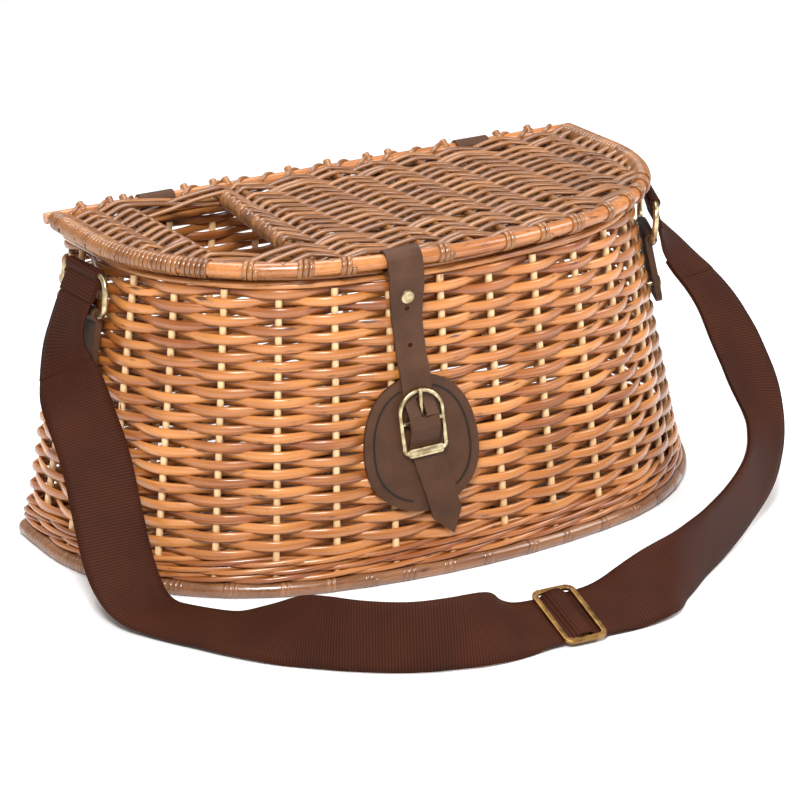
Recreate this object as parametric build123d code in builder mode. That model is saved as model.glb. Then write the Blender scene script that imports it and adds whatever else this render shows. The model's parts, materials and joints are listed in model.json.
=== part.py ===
from build123d import *
import math
import os

os.makedirs("parts", exist_ok=True)

# Wicker fishing creel, millimetres. X runs along the basket, -Y is the front, Z is up.
# The base stands on Z = 0 with the origin under the middle of the base.

# ---- basket outline: a D with a straight back, seen from above ----
hinge_y = 100.0             # line of the lid's back rod
base_half_width = 211.0
base_depth = 203.0
base_front_radius = 400.0
base_side_share = 0.23      # straight part of each end, as a share of the depth
lid_half_width = 175.0      # to the centre of the lid's front rod
lid_depth = 192.0
lid_front_radius = 300.0
lid_side_share = 0.30
back_round = 9.0            # rounding of the two back corners

# ---- heights and thicknesses ----
frame_rod_radius = 4.5
frame_rod_flat = 0.3        # worn off its underside, where the basket stands
base_panel_thickness = 6.0
wale_rod_height = 4.5
wale_rounds = 3
wall_thickness = 9.2
wall_top = 178.0
border_rod_radius = 2.2
lid_rod_radius = 4.25
lid_back_rod_radius = 3.5
stake_radius = 2.1
slot_stake_radius = 3.0
front_stake_count = 18
back_stake_count = 12
base_stake_count = 12

seat_gap = 0.15             # rod to panel, round to round
stake_end_gap = 0.8         # from a stake's end to the border
round_gap = 0.1             # between one round of rods and the next
running_gap = 0.05          # radial, in the pivots
skin_gap = 0.3              # leather to wicker
strap_ring_gap = 1.3        # strap to the curved front rod, which it crosses at a slant

# ---- fish slot, distances from the hinge line and the middle of the lid ----
slot_left = -135.0
slot_right_back = -69.0
slot_right_front = -90.0
slot_back = 22.0
slot_front = 130.0
lid_stake_xs = (-155.0, -57.0, -20.0, 6.0, 34.0, 62.0, 90.0, 126.0, 152.0)

# ---- leather ----
leather_thickness = 1.8
hinge_leather = 1.5
hinge_strap_x = 108.0
hinge_strap_width = 23.0
hinge_tail_length = 50.0
closure_share = 0.441       # place of the closure, as a share of the way round the front
closure_level = 97.0        # height of the buckle's centre bar
closure_lean = 5.0          # degrees that the strap's top leans to the left
strap_width = 18.0
strap_top_width = 21.0
strap_tail_length = 73.0
tail_turn = 12.0            # degrees that the tail leans to the right
tail_point = 13.0           # length of its pointed tip
patch_thickness = 2.8
patch_width = 70.0
patch_height = 77.0
patch_drop = 13.0           # middle of the patch below the centre bar
stitch_inset = 5.0
stitch_width = 0.9
tab_width = 38.0
tab_length = 42.0
tab_thickness = 2.0
tab_corner = 9.0            # rounding of a tab's lower corners
hinge_rivet_rise = 10.0     # from a hinge tail's lower end
strap_bend_drop = 9.0       # from the lid's rod to where the closure strap turns in to the wall
strap_wall_drop = 34.0      # from the lid's rod to where it reaches the wall
closure_rivet_drop = 21.0   # from the lid's rod to the rivet
slit_level = 8.4            # middle of the prong's slit, above the centre bar
slit_length = 10.5
slit_width = 3.6
punch_levels = (44.0, 66.0) # spare holes, above the centre bar
punch_radius = 1.4
lug_width = 6.0             # each half of the leather loop that holds the buckle's bar
lug_gap = 2.2               # from the middle to each half
cut_depth = 40.0            # how far outlines are cut through the leather
# The patch's outline, as shares of its half width and half height: rounded top, flattened bottom.
patch_turning = [
    (0, 1), (0.7, 0.72), (1, -0.08), (0.88, -0.66), (0.5, -0.98),
    (-0.5, -0.98), (-0.88, -0.66), (-1, -0.08), (-0.7, 0.72),
]

# ---- brass ----
buckle_wire_radius = 1.3
buckle_half_width = 12.7
buckle_half_height = 18.0
buckle_corner = 3.0
buckle_foot = 5.0           # width of the flat lower bar
prong_collar = 1.2          # wall of the prong's round collar
prong_collar_half = 1.8
prong_radius = 1.1
ring_wire_radius = 1.8
ring_inner_width = 53.0
ring_height = 23.6
ring_corner = 8.0
tab_level = 151.0
tab_share_left = 1.5 / front_stake_count
tab_share_right = 15 / front_stake_count
ring_lean_left = 5.0        # degrees that the strap pulls each ring out from the wall
ring_lean_right = 16.0
tab_rivet_pitch = 20.0
tab_rivet_drop = 30.0
rivet_radius = 1.5
rivet_head_radius = 4.2
rivet_head_height = 1.2
rivet_hole_gap = 0.1
washer_gap = 0.9            # from the washer to the round wall inside

# ---- shoulder strap ----
webbing_width = 40.0
webbing_thickness = 1.7
strap_end_length = 13.0     # of the doubled and stitched end below its ring
strap_end_out = 5.2         # how far that end slants out of the ring's plane
strap_lead = 18.0           # straight webbing below each end
strap_largest_bend = 90.0
slide_width = 48.0
slide_length = 27.0
slide_bar = 3.5
slide_thickness = 2.2
slide_round = 6.0
slide_edge = 0.6
section_pitch = 7.0         # between the webbing's sections
climb_pitch = 0.5           # between them where it rises over the slide's bar
slide_station = 16           # the slide is half way between this point of the route and the next

# Middle of the webbing, from the left ring's end to the right ring's, with the direction from
# its outer or lower edge to its other edge. It stands on edge in front of the basket.
strap_route = [
    ((-199, 37, 122), (0.35, -0.93, 0)),
    ((-201, 13, 101), (0.85, -0.5, -0.05)),
    ((-201, -8, 80), (0.89, -0.45, -0.05)),
    ((-204, -27, 52), (0.91, -0.41, -0.08)),
    ((-206, -46, 23), (0.94, -0.3, -0.1)),
    ((-203, -66, 6), (0.97, 0.15, 0)),
    ((-191, -88, 4.5), (0.88, 0.46, 0.1)),
    ((-177, -114, 6), (0.87, 0.45, 0.15)),
    ((-163, -141, 12), (0.75, 0.3, 0.5)),
    ((-149, -169, 19), (0.4, 0.15, 0.9)),
    ((-132, -195, 21), (0.1, 0.1, 1)),
    ((-108, -213, 21), (0, 0.1, 1)),
    ((-82, -220, 21), (0.05, 0.2, 1)),
    ((-57, -217, 18), (0.1, 0.6, 0.8)),
    ((-32, -206, 8.4), (-0.1, 0.95, 0.29)),
    ((17, -208.5, 8.6), (-0.1, 0.95, 0.29)),
    ((42, -213, 17.5), (-0.2, 0.7, 0.65)),
    ((67, -205, 21), (-0.1, 0.15, 1)),
    ((97, -184, 21), (0, 0, 1)),
    ((129, -161, 22), (0, 0, 1)),
    ((159, -137.5, 26), (-0.2, -0.1, 0.95)),
    ((184, -115, 34), (-0.75, -0.4, 0.55)),
    ((198, -97, 49), (-0.87, -0.45, 0.2)),
    ((202, -78, 70), (-0.96, -0.3, 0)),
    ((200, -59, 95), (-0.97, -0.3, 0)),
    ((197, -40, 118), (-0.85, -0.5, 0)),
]

# ---- worked-out heights ----
frame_rod_z = frame_rod_radius - frame_rod_flat
wale_bottom = frame_rod_z + frame_rod_radius + round_gap
wall_foot = wale_bottom + wale_rounds * (wale_rod_height + round_gap)
border_low_z = wall_top + round_gap + border_rod_radius
border_step = 2 * border_rod_radius + round_gap
border_high_z = border_low_z + border_step * math.sin(math.radians(60))
border_top = border_high_z + border_rod_radius
loop_inner = lid_back_rod_radius + running_gap
loop_outer = loop_inner + hinge_leather
lid_z = border_top + skin_gap + loop_outer
lid_panel_thickness = 2 * (lid_z - border_top - skin_gap)
back_y = hinge_y + lid_back_rod_radius - skin_gap   # outer face of the back wall

base_shape = (base_half_width, base_depth, back_y, base_front_radius, base_side_share)
border_inset = 3.5          # the border lies this far inside the lid's front rod
top_shape = (
    lid_half_width - border_inset,
    lid_depth - border_inset + back_y - hinge_y,
    back_y,
    lid_front_radius - border_inset,
    lid_side_share,
)
lid_shape = (lid_half_width, lid_depth, hinge_y, lid_front_radius, lid_side_share)


def shape_at(level):
    """The wall's outline at a height, between the base's and the border's."""
    share = level / wall_top
    return tuple(low + (high - low) * share for low, high in zip(base_shape, top_shape))


def d_front(shape, inset, back_inset):
    """Adds the two ends and the front of a D outline; gives the X and Y where they start."""
    half_width, depth, back, front_radius, side_share = shape
    front_y = back - depth
    side_y = back - side_share * depth
    reach = side_y - front_y
    corner = (2 * front_radius * reach - half_width**2 - reach**2) / (2 * (front_radius - half_width))
    front_centre = Vector(0, front_y + front_radius)
    corner_centre = Vector(corner - half_width, side_y)
    away = (corner_centre - front_centre).normalized()
    meet = front_centre + away * (front_radius - inset)
    half_turn = (away + Vector(-1, 0)).normalized()
    middle = corner_centre + half_turn * (corner - inset)
    side_x = half_width - inset
    end_y = back - back_inset
    Line((-side_x, end_y), (-side_x, side_y))
    ThreePointArc((-side_x, side_y), (middle.X, middle.Y), (meet.X, meet.Y))
    ThreePointArc((meet.X, meet.Y), (0, front_y + inset), (-meet.X, meet.Y))
    ThreePointArc((-meet.X, meet.Y), (-middle.X, middle.Y), (side_x, side_y))
    Line((side_x, side_y), (side_x, end_y))
    return side_x, end_y


def d_closed(shape, inset, back_inset=None):
    """Adds a whole D outline, its back corners rounded."""
    back_inset = inset if back_inset is None else back_inset
    rounding = back_round - min(inset, back_round - 1)
    side_x, end_y = d_front(shape, inset, back_inset + rounding)
    turn = rounding * (1 - math.sqrt(0.5))
    back = end_y + rounding
    back_x = side_x - rounding
    ThreePointArc((side_x, end_y), (side_x - turn, back - turn), (back_x, back))
    Line((back_x, back), (-back_x, back))
    ThreePointArc((-back_x, back), (turn - side_x, back - turn), (-side_x, end_y))


def round_wall(inset):
    """The whole basket's tapered solid, with its sides moved in by inset."""
    with BuildPart() as body:
        with BuildSketch():
            with BuildLine():
                d_closed(base_shape, inset)
            make_face()
        with BuildSketch(Plane.XY.offset(wall_top)):
            with BuildLine():
                d_closed(top_shape, inset)
            make_face()
        loft(ruled=True)
    return body.part


def front_line(shape, inset, level):
    """The ends and front of an outline as one wire at a height."""
    with BuildLine(Plane.XY.offset(level)) as line:
        d_front(shape, inset, inset + back_round)
    return line.wire()


front_low = front_line(base_shape, 0, 0)
front_high = front_line(top_shape, 0, wall_top)


def wall_plane(share, level):
    """A plane on the wall's outer face: X to the right along it, Y up it, Z straight out."""
    low = front_low @ share
    high = front_high @ share
    point = low + (high - low) * (level / wall_top)
    up = (high - low).normalized()
    along = (front_low % share) * (1 - level / wall_top) + (front_high % share) * (level / wall_top)
    out = along.cross(up).normalized()
    return Plane(origin=point, x_dir=up.cross(out), z_dir=out)


def turned(plane, about_x, about_z):
    """A plane turned in itself: degrees about its own X, then about its own Z."""
    return Plane(plane.location * Rotation(about_x, 0, about_z))


def rod_between(start, end, radius):
    """A straight round rod."""
    axis = Plane(origin=start, z_dir=(end - start))
    with BuildPart() as rod:
        with BuildSketch(axis):
            Circle(radius)
        extrude(amount=(end - start).length)
    return rod.part


def bend_radii(points, largest):
    """One radius for each corner of a route: as large as its two runs allow, up to a limit."""
    radii = []
    for before, here, after in zip(points, points[1:], points[2:]):
        come = Vector(*here) - Vector(*before)
        leave = Vector(*after) - Vector(*here)
        half_turn = math.radians(come.get_angle(leave)) / 2
        radii.append(min(largest, 0.45 * min(come.length, leave.length) / math.tan(half_turn)))
    return radii


wall_outer = round_wall(0)
wall_inner = round_wall(wall_thickness)


def rod_start(shape, inset, x, radius):
    """The Y where a front-to-back rod clears the front of a D outline by the seat gap."""
    side_x = abs(x) + radius
    line = Edge.make_line((side_x, shape[2] - 2 * shape[1]), (side_x, shape[2] - shape[1] * 0.3))
    return front_line(shape, inset, 0).intersect(line)[0].Y + seat_gap


# ---- base ----
with BuildPart() as base_frame_rod:
    with BuildLine(Plane.XY.offset(frame_rod_z)) as rod_line:
        d_closed(base_shape, frame_rod_radius)
    with BuildSketch(Plane(origin=rod_line.wire() @ 0, z_dir=rod_line.wire() % 0)):
        Circle(frame_rod_radius)
    sweep(path=rod_line.wire())
    split(bisect_by=Plane.XY, keep=Keep.TOP)
base_frame_rod.part.label = "base_frame_rod"
export_step(base_frame_rod.part, "parts/base_frame_rod.step")

base_inner = 2 * frame_rod_radius + seat_gap
base_stake_pitch = 2 * base_half_width / (base_stake_count + 1)
base_rods = []
for index in range(base_stake_count):
    x = (index - (base_stake_count - 1) / 2) * base_stake_pitch
    near = Vector(x, rod_start(base_shape, base_inner, x, stake_radius), frame_rod_z)
    far = Vector(x, back_y - base_inner - seat_gap, frame_rod_z)
    base_rods.append((near, far))

with BuildPart() as base_stakes:
    for near, far in base_rods:
        add(rod_between(near, far, stake_radius))
base_stakes.part.label = "base_stakes"
export_step(base_stakes.part, "parts/base_stakes.step")

with BuildPart() as base_panel:
    with BuildSketch(Plane.XY.offset(frame_rod_z - base_panel_thickness / 2)):
        with BuildLine():
            d_closed(base_shape, base_inner)
        make_face()
    extrude(amount=base_panel_thickness)
    for near, far in base_rods:
        reach = (far - near).normalized() * 4
        add(rod_between(near - reach, far + reach, stake_radius + round_gap), mode=Mode.SUBTRACT)
base_panel.part.label = "base_panel"
export_step(base_panel.part, "parts/base_panel.step")

# ---- upright stakes: straight lines in the middle of the wall ----
middle_low = front_line(base_shape, wall_thickness / 2, 0)
middle_high = front_line(top_shape, wall_thickness / 2, wall_top)
stake_lines = []
for index in range(front_stake_count):
    share = (index + 0.5) / front_stake_count
    stake_lines.append((middle_low @ share, middle_high @ share))
for index in range(back_stake_count):
    share = (index - (back_stake_count - 1) / 2) / back_stake_count * 2
    low = Vector(share * base_half_width, back_y - wall_thickness / 2, 0)
    high = Vector(share * top_shape[0], back_y - wall_thickness / 2, wall_top)
    stake_lines.append((low, high))


def on_stake(line, level):
    """The point of a stake's line at a height."""
    low, high = line
    return low + (high - low) * (level / wall_top)


with BuildPart() as wall_stakes:
    for line in stake_lines:
        add(rod_between(on_stake(line, wale_bottom + 0.5), on_stake(line, wall_top - stake_end_gap), stake_radius))
wall_stakes.part.label = "wall_stakes"
export_step(wall_stakes.part, "parts/wall_stakes.step")

stake_holes = [
    rod_between(on_stake(line, 0), on_stake(line, wall_top + 5), stake_radius + round_gap)
    for line in stake_lines
]

# ---- three rounds of wale above the base ----
with BuildPart() as bottom_wale:
    for index in range(wale_rounds):
        level = wale_bottom + wale_rod_height / 2 + index * (wale_rod_height + round_gap)
        with BuildLine(Plane.XY.offset(level)) as round_line:
            d_closed(shape_at(level), wall_thickness / 2)
        path = round_line.wire()
        with BuildSketch(Plane(origin=path @ 0, x_dir=(1, 0, 0), z_dir=path % 0)):
            Ellipse(wall_thickness / 2, wale_rod_height / 2)
        sweep(path=path)
    for hole in stake_holes:
        add(hole, mode=Mode.SUBTRACT)
bottom_wale.part.label = "bottom_wale"
export_step(bottom_wale.part, "parts/bottom_wale.step")

# ---- leather tabs for the strap rings, made in their own planes on the wall ----
ring_out = skin_gap + ring_wire_radius + running_gap + tab_thickness
tab_planes = {
    "left": wall_plane(tab_share_left, tab_level),
    "right": wall_plane(tab_share_right, tab_level),
}


def side_on(plane):
    """The plane square to a wall plane, for profiles of out against up."""
    return Plane(origin=plane.origin, x_dir=plane.z_dir, z_dir=-plane.x_dir)


def rivet(plane, out_start, out_end):
    """A rivet along a plane's Z: a domed head outside and a flat washer inside."""
    with BuildPart() as body:
        with BuildSketch(plane.offset(out_start)):
            Circle(rivet_radius)
        extrude(amount=out_end - out_start)
        with BuildSketch(plane.offset(out_end)):
            Circle(rivet_head_radius)
        extrude(amount=rivet_head_height, taper=20)
        with BuildSketch(plane.offset(out_start)):
            Circle(rivet_head_radius)
        extrude(amount=rivet_head_height)
    return body.part


def rivet_hole(plane, out_start, out_end):
    """The hole that a rivet goes through."""
    with BuildPart() as body:
        with BuildSketch(plane.offset(out_start)):
            Circle(rivet_radius + rivet_hole_gap)
        extrude(amount=out_end - out_start)
    return body.part


tab_out = skin_gap + 2 * tab_thickness
rivet_in = -wall_thickness - washer_gap - rivet_head_height
tab_rivet_planes = []
for plane in tab_planes.values():
    for sign in (-1, 1):
        place = plane.from_local_coords((sign * tab_rivet_pitch / 2, -tab_rivet_drop, 0))
        tab_rivet_planes.append(Plane(origin=place, x_dir=plane.x_dir, z_dir=plane.z_dir))

for side, plane in tab_planes.items():
    with BuildPart() as ring_tab:
        with BuildSketch(side_on(plane)):
            with Locations((ring_out, 0)):
                Circle(ring_wire_radius + running_gap + tab_thickness)
            with Locations((skin_gap + tab_thickness, -tab_length / 2)):
                Rectangle(2 * tab_thickness, tab_length)
            with Locations((ring_out, 0)):
                Circle(ring_wire_radius + running_gap, mode=Mode.SUBTRACT)
        extrude(amount=tab_width / 2, both=True)
        fillet(ring_tab.edges().filter_by(Axis(plane.origin, plane.z_dir)).sort_by(Axis.Z)[:2], tab_corner)
        for rivet_plane in tab_rivet_planes:
            add(rivet_hole(rivet_plane, -1, tab_out + 1), mode=Mode.SUBTRACT)
    ring_tab.part.label = "ring_tab_" + side
    export_step(ring_tab.part, "parts/ring_tab_" + side + ".step")

with BuildPart() as tab_rivets:
    for plane in tab_rivet_planes:
        add(rivet(plane, rivet_in, tab_out + skin_gap / 2))
tab_rivets.part.label = "tab_rivets"
export_step(tab_rivets.part, "parts/tab_rivets.step")

# ---- leather hinge loops round the lid's back rod ----
hinge_rivet_z = lid_z - hinge_tail_length + hinge_rivet_rise
hinge_planes = [
    Plane(origin=(x, back_y, hinge_rivet_z), x_dir=(-1, 0, 0), z_dir=(0, 1, 0))
    for x in (-hinge_strap_x, hinge_strap_x)
]
tail_out = hinge_y + loop_outer - back_y

for side, sign in (("left", -1), ("right", 1)):
    with BuildPart() as hinge_strap:
        with BuildSketch(Plane(origin=(sign * hinge_strap_x, hinge_y, lid_z), x_dir=(0, 1, 0), z_dir=(1, 0, 0))):
            Circle(loop_outer)
            with Locations((loop_inner + hinge_leather / 2, -hinge_tail_length / 2)):
                Rectangle(hinge_leather, hinge_tail_length)
            Circle(loop_inner, mode=Mode.SUBTRACT)
        extrude(amount=hinge_strap_width / 2, both=True)
        for plane in hinge_planes:
            add(rivet_hole(plane, -1, tail_out + 1), mode=Mode.SUBTRACT)
    hinge_strap.part.label = "hinge_strap_" + side
    export_step(hinge_strap.part, "parts/hinge_strap_" + side + ".step")

with BuildPart() as hinge_rivets:
    for plane in hinge_planes:
        add(rivet(plane, rivet_in, tail_out + skin_gap / 2))
hinge_rivets.part.label = "hinge_rivets"
export_step(hinge_rivets.part, "parts/hinge_rivets.step")

# ---- woven wall ----
with BuildPart() as basket_wall:
    add(wall_outer)
    add(wall_inner, mode=Mode.SUBTRACT)
    split(bisect_by=Plane.XY.offset(wall_foot), keep=Keep.TOP)
    for hole in stake_holes:
        add(hole, mode=Mode.SUBTRACT)
    for plane in tab_rivet_planes + hinge_planes:
        add(rivet_hole(plane, -wall_thickness - 1, 1), mode=Mode.SUBTRACT)
basket_wall.part.label = "basket_wall"
export_step(basket_wall.part, "parts/basket_wall.step")

# ---- border: two rods side by side with a third on top ----
with BuildPart() as border_rods:
    border_middle = wall_thickness / 2
    for inset, level in (
        (border_middle - border_step / 2, border_low_z),
        (border_middle + border_step / 2, border_low_z),
        (border_middle, border_high_z),
    ):
        with BuildLine(Plane.XY.offset(level)) as border_line:
            d_closed(top_shape, inset)
        path = border_line.wire()
        with BuildSketch(Plane(origin=path @ 0, z_dir=path % 0)):
            Circle(border_rod_radius)
        sweep(path=path)
border_rods.part.label = "border_rods"
export_step(border_rods.part, "parts/border_rods.step")

# ---- lid ----
lid_inner = lid_rod_radius + seat_gap
lid_back_inner = lid_back_rod_radius + seat_gap

with BuildPart() as lid_back_rod:
    with BuildSketch(Plane.YZ.offset(-lid_half_width - lid_rod_radius)):
        with Locations((hinge_y, lid_z)):
            Circle(lid_back_rod_radius)
    extrude(amount=2 * (lid_half_width + lid_rod_radius))
lid_back_rod.part.label = "lid_back_rod"
export_step(lid_back_rod.part, "parts/lid_back_rod.step")

with BuildPart() as lid_front_rod:
    with BuildLine(Plane.XY.offset(lid_z)) as front_rod_line:
        d_front(lid_shape, 0, lid_back_inner)
    path = front_rod_line.wire()
    with BuildSketch(Plane(origin=path @ 0, z_dir=path % 0)):
        Circle(lid_rod_radius)
    sweep(path=path)
lid_front_rod.part.label = "lid_front_rod"
export_step(lid_front_rod.part, "parts/lid_front_rod.step")


def lid_rod(x_back, x_front, radius):
    """A front-to-back rod of the lid, from rod to rod."""
    tilt = radius * abs(x_front - x_back) / lid_depth
    near = Vector(x_front, rod_start(lid_shape, lid_inner, x_front, radius) + tilt, lid_z)
    far = Vector(x_back, hinge_y - lid_back_inner - seat_gap - tilt, lid_z)
    return near, far, radius


lid_rods = [lid_rod(x, x, stake_radius) for x in lid_stake_xs]
slot_rods = [
    lid_rod(slot_left, slot_left, slot_stake_radius),
    lid_rod(slot_right_back, slot_right_front, slot_stake_radius),
]

with BuildPart() as lid_stakes:
    for near, far, radius in lid_rods:
        add(rod_between(near, far, radius))
lid_stakes.part.label = "lid_stakes"
export_step(lid_stakes.part, "parts/lid_stakes.step")

with BuildPart() as slot_stakes:
    for near, far, radius in slot_rods:
        add(rod_between(near, far, radius))
slot_stakes.part.label = "slot_stakes"
export_step(slot_stakes.part, "parts/slot_stakes.step")

# ---- buckle, in the plane on the wall at the middle of its centre bar ----
closure = turned(wall_plane(closure_share, closure_level), 0, closure_lean)
closure_side = side_on(closure)
patch_top = skin_gap + patch_thickness
strap_low = patch_top + skin_gap + 0.1
strap_middle = strap_low + leather_thickness / 2
tail_start = 4 - buckle_half_height
bar_out = strap_low + leather_thickness + skin_gap + buckle_wire_radius
bar_loop = buckle_wire_radius + running_gap
lug_radius = bar_loop + 1.0
hump_out = bar_out + lug_radius + skin_gap + leather_thickness / 2 + 0.6

lid_front_plane = front_line(lid_shape, 0, lid_z)
rod_point = lid_front_plane.intersect(
    Face.make_rect(900, 900, Plane(origin=closure.origin, z_dir=closure.x_dir))
)
rod_vertex = [item for item in rod_point.vertices() if item.Y < 0][0]
rod_local = closure_side.to_local_coords(Vector(rod_vertex.X, rod_vertex.Y, rod_vertex.Z))
strap_ring = lid_rod_radius + strap_ring_gap
strap_start_out = rod_local.X + strap_ring + leather_thickness / 2

strap_points = [
    (strap_start_out, rod_local.Y),
    (strap_start_out - 0.6, rod_local.Y - strap_bend_drop),
    (skin_gap + leather_thickness / 2 + 0.7, rod_local.Y - strap_wall_drop),
    (skin_gap + leather_thickness / 2 + 0.5, patch_height / 2 - patch_drop + 12),
    (strap_middle, patch_height / 2 - patch_drop + 4),
    (strap_middle, buckle_half_height - 6),
    (hump_out, 3.5),
    (hump_out, -3.5),
    (strap_middle, 3 - buckle_half_height),
    (strap_middle, -patch_height / 2 - patch_drop + 4),
    (strap_middle - 1.2, -strap_tail_length - 6),
]


def shield(inset):
    """The patch's outline, moved in by inset."""
    half = patch_width / 2 - inset
    tall = patch_height / 2 - inset
    with BuildSketch(closure.offset(-cut_depth / 2)) as outline:
        with BuildLine():
            Spline(*[(half * across, tall * up - patch_drop) for across, up in patch_turning], periodic=True)
        make_face()
    return outline.sketch


def leaned(across, up):
    """A point of the strap's tail, which leans about the middle of the buckle's lower end."""
    lean = math.radians(tail_turn)
    turned_across = across * math.cos(lean) - up * math.sin(lean)
    turned_up = across * math.sin(lean) + up * math.cos(lean)
    return turned_across, turned_up + tail_start


patch_skin = round_wall(-patch_top)
patch_back = round_wall(-skin_gap)
thread_skin = round_wall(-patch_top - 0.5)

with BuildPart() as buckle_patch:
    extrude(shield(0), amount=cut_depth, dir=closure.z_dir)
    add(patch_skin, mode=Mode.INTERSECT)
    add(patch_back, mode=Mode.SUBTRACT)
buckle_patch.part.label = "buckle_patch"
export_step(buckle_patch.part, "parts/buckle_patch.step")

with BuildPart() as patch_stitches:
    extrude(shield(stitch_inset), amount=cut_depth, dir=closure.z_dir)
    extrude(shield(stitch_inset + stitch_width), amount=cut_depth, dir=closure.z_dir, mode=Mode.SUBTRACT)
    with BuildSketch(closure.offset(-cut_depth / 2)):
        with Locations((0, patch_height / 2 - patch_drop)):
            Rectangle(strap_width + 6, 14)
        with Locations((tail_turn / 2, -patch_height / 2 - patch_drop)):
            Rectangle(strap_width + 14, 16)
    extrude(amount=cut_depth, mode=Mode.SUBTRACT)
    add(thread_skin, mode=Mode.INTERSECT)
    add(patch_skin, mode=Mode.SUBTRACT)
patch_stitches.part.label = "patch_stitches"
export_step(patch_stitches.part, "parts/patch_stitches.step")

with BuildPart() as buckle_loop:
    for side in (-1, 1):
        middle = closure_side.offset(-side * (lug_gap + lug_width / 2))
        with BuildSketch(middle):
            with Locations((bar_out, 0)):
                Circle(lug_radius)
            with Locations(((bar_out + patch_top + round_gap) / 2, 0)):
                Rectangle(bar_out - patch_top - round_gap, 2 * lug_radius)
            with Locations((bar_out, 0)):
                Circle(bar_loop, mode=Mode.SUBTRACT)
        extrude(amount=lug_width / 2, both=True)
buckle_loop.part.label = "buckle_loop"
export_step(buckle_loop.part, "parts/buckle_loop.step")

buckle_plane = closure.offset(bar_out)
with BuildPart() as buckle_frame:
    arch = buckle_half_height - buckle_half_width
    with BuildLine(buckle_plane) as frame_line:
        corner = buckle_corner
        low = -buckle_half_height
        wide = buckle_half_width
        bend = corner * (1 - math.sqrt(0.5))
        Line((0, low), (wide - corner, low))
        ThreePointArc((wide - corner, low), (wide - bend, low + bend), (wide, low + corner))
        Line((wide, low + corner), (wide, arch))
        ThreePointArc((wide, arch), (0, buckle_half_height), (-wide, arch))
        Line((-wide, arch), (-wide, low + corner))
        ThreePointArc((-wide, low + corner), (-wide + bend, low + bend), (-wide + corner, low))
        Line((-wide + corner, low), (0, low))
    path = frame_line.wire()
    with BuildSketch(Plane(origin=path @ 0, z_dir=path % 0)):
        Circle(buckle_wire_radius)
    sweep(path=path)
    with BuildSketch(buckle_plane.offset(-buckle_wire_radius * 0.8)):
        with Locations((0, low)):
            RectangleRounded(2 * wide - 4, buckle_foot, 1.5)
    extrude(amount=buckle_wire_radius * 1.6)
    bar_start = closure.from_local_coords((-wide, 0, bar_out))
    bar_end = closure.from_local_coords((wide, 0, bar_out))
    add(rod_between(bar_start, bar_end, buckle_wire_radius))
buckle_frame.part.label = "buckle_frame"
export_step(buckle_frame.part, "parts/buckle_frame.step")

prong_tip_out = bar_out + buckle_wire_radius + prong_radius + round_gap
with BuildPart() as buckle_prong:
    prong_start = closure.from_local_coords((0, bar_loop + 0.6, bar_out + 0.2))
    prong_end = closure.from_local_coords((0, buckle_half_height + 2.2, prong_tip_out + 0.4))
    add(rod_between(prong_start, prong_end, prong_radius))
    with BuildSketch(closure_side):
        with Locations((bar_out, 0)):
            Circle(bar_loop + prong_collar)
    extrude(amount=prong_collar_half, both=True)
    add(rod_between(bar_start, bar_end, bar_loop), mode=Mode.SUBTRACT)
buckle_prong.part.label = "buckle_prong"
export_step(buckle_prong.part, "parts/buckle_prong.step")

# ---- closure strap: a profile along the wall, cut to its outline from the front ----
strap_rivet_level = rod_local.Y - closure_rivet_drop
with BuildSketch(closure_side) as strap_profile:
    with BuildLine():
        FilletPolyline(*strap_points, radius=bend_radii(strap_points, 5.0))
    trace(line_width=leather_thickness)
    with Locations((rod_local.X, rod_local.Y)):
        Circle(strap_ring + leather_thickness)
        Circle(strap_ring, mode=Mode.SUBTRACT)

with BuildSketch(closure.offset(-30)) as strap_outline:
    tall = rod_local.Y + 12
    half = strap_width / 2
    half_top = strap_top_width / 2
    with BuildLine():
        Polyline(
            (-half_top, tall), (half_top, tall), (half_top, rod_local.Y - 15), (half, rod_local.Y - 40),
            (half, -buckle_half_height), (-half, -buckle_half_height), (-half, rod_local.Y - 40),
            (-half_top, rod_local.Y - 15), close=True,
        )
    make_face()
    tip = tail_start + strap_tail_length
    with BuildLine():
        Polyline(
            leaned(-half, 3), leaned(half, 3), leaned(half, tail_point - tip), leaned(0, -tip),
            leaned(-half, tail_point - tip), close=True,
        )
    make_face()
    with Locations((0, slit_level)):
        SlotOverall(slit_length, slit_width, rotation=90, mode=Mode.SUBTRACT)
    for level in punch_levels:
        with Locations((0, level)):
            Circle(punch_radius, mode=Mode.SUBTRACT)

rivet_share = (closure_rivet_drop - strap_bend_drop) / (strap_wall_drop - strap_bend_drop)
rivet_out = strap_points[1][0] + (strap_points[2][0] - strap_points[1][0]) * rivet_share
rivet_lean = math.degrees(math.atan2(strap_points[1][0] - strap_points[2][0], strap_wall_drop - strap_bend_drop))
rivet_point = closure.from_local_coords((0, strap_rivet_level, rivet_out))
rivet_face = turned(Plane(origin=rivet_point, x_dir=closure.x_dir, z_dir=closure.z_dir), rivet_lean, 0)

with BuildPart() as strap_cutter:
    extrude(strap_outline.sketch, amount=70, dir=closure.z_dir)

with BuildPart() as closure_strap:
    extrude(strap_profile.sketch, amount=20, both=True, dir=closure.x_dir)
    add(strap_cutter.part, mode=Mode.INTERSECT)
    add(rivet_hole(rivet_face, -4, 4), mode=Mode.SUBTRACT)
closure_strap.part.label = "closure_strap"
export_step(closure_strap.part, "parts/closure_strap.step")

with BuildPart() as closure_rivet:
    half_strap = leather_thickness / 2 + round_gap
    add(rivet(rivet_face, -half_strap - rivet_head_height, half_strap))
closure_rivet.part.label = "closure_rivet"
export_step(closure_rivet.part, "parts/closure_rivet.step")

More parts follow.
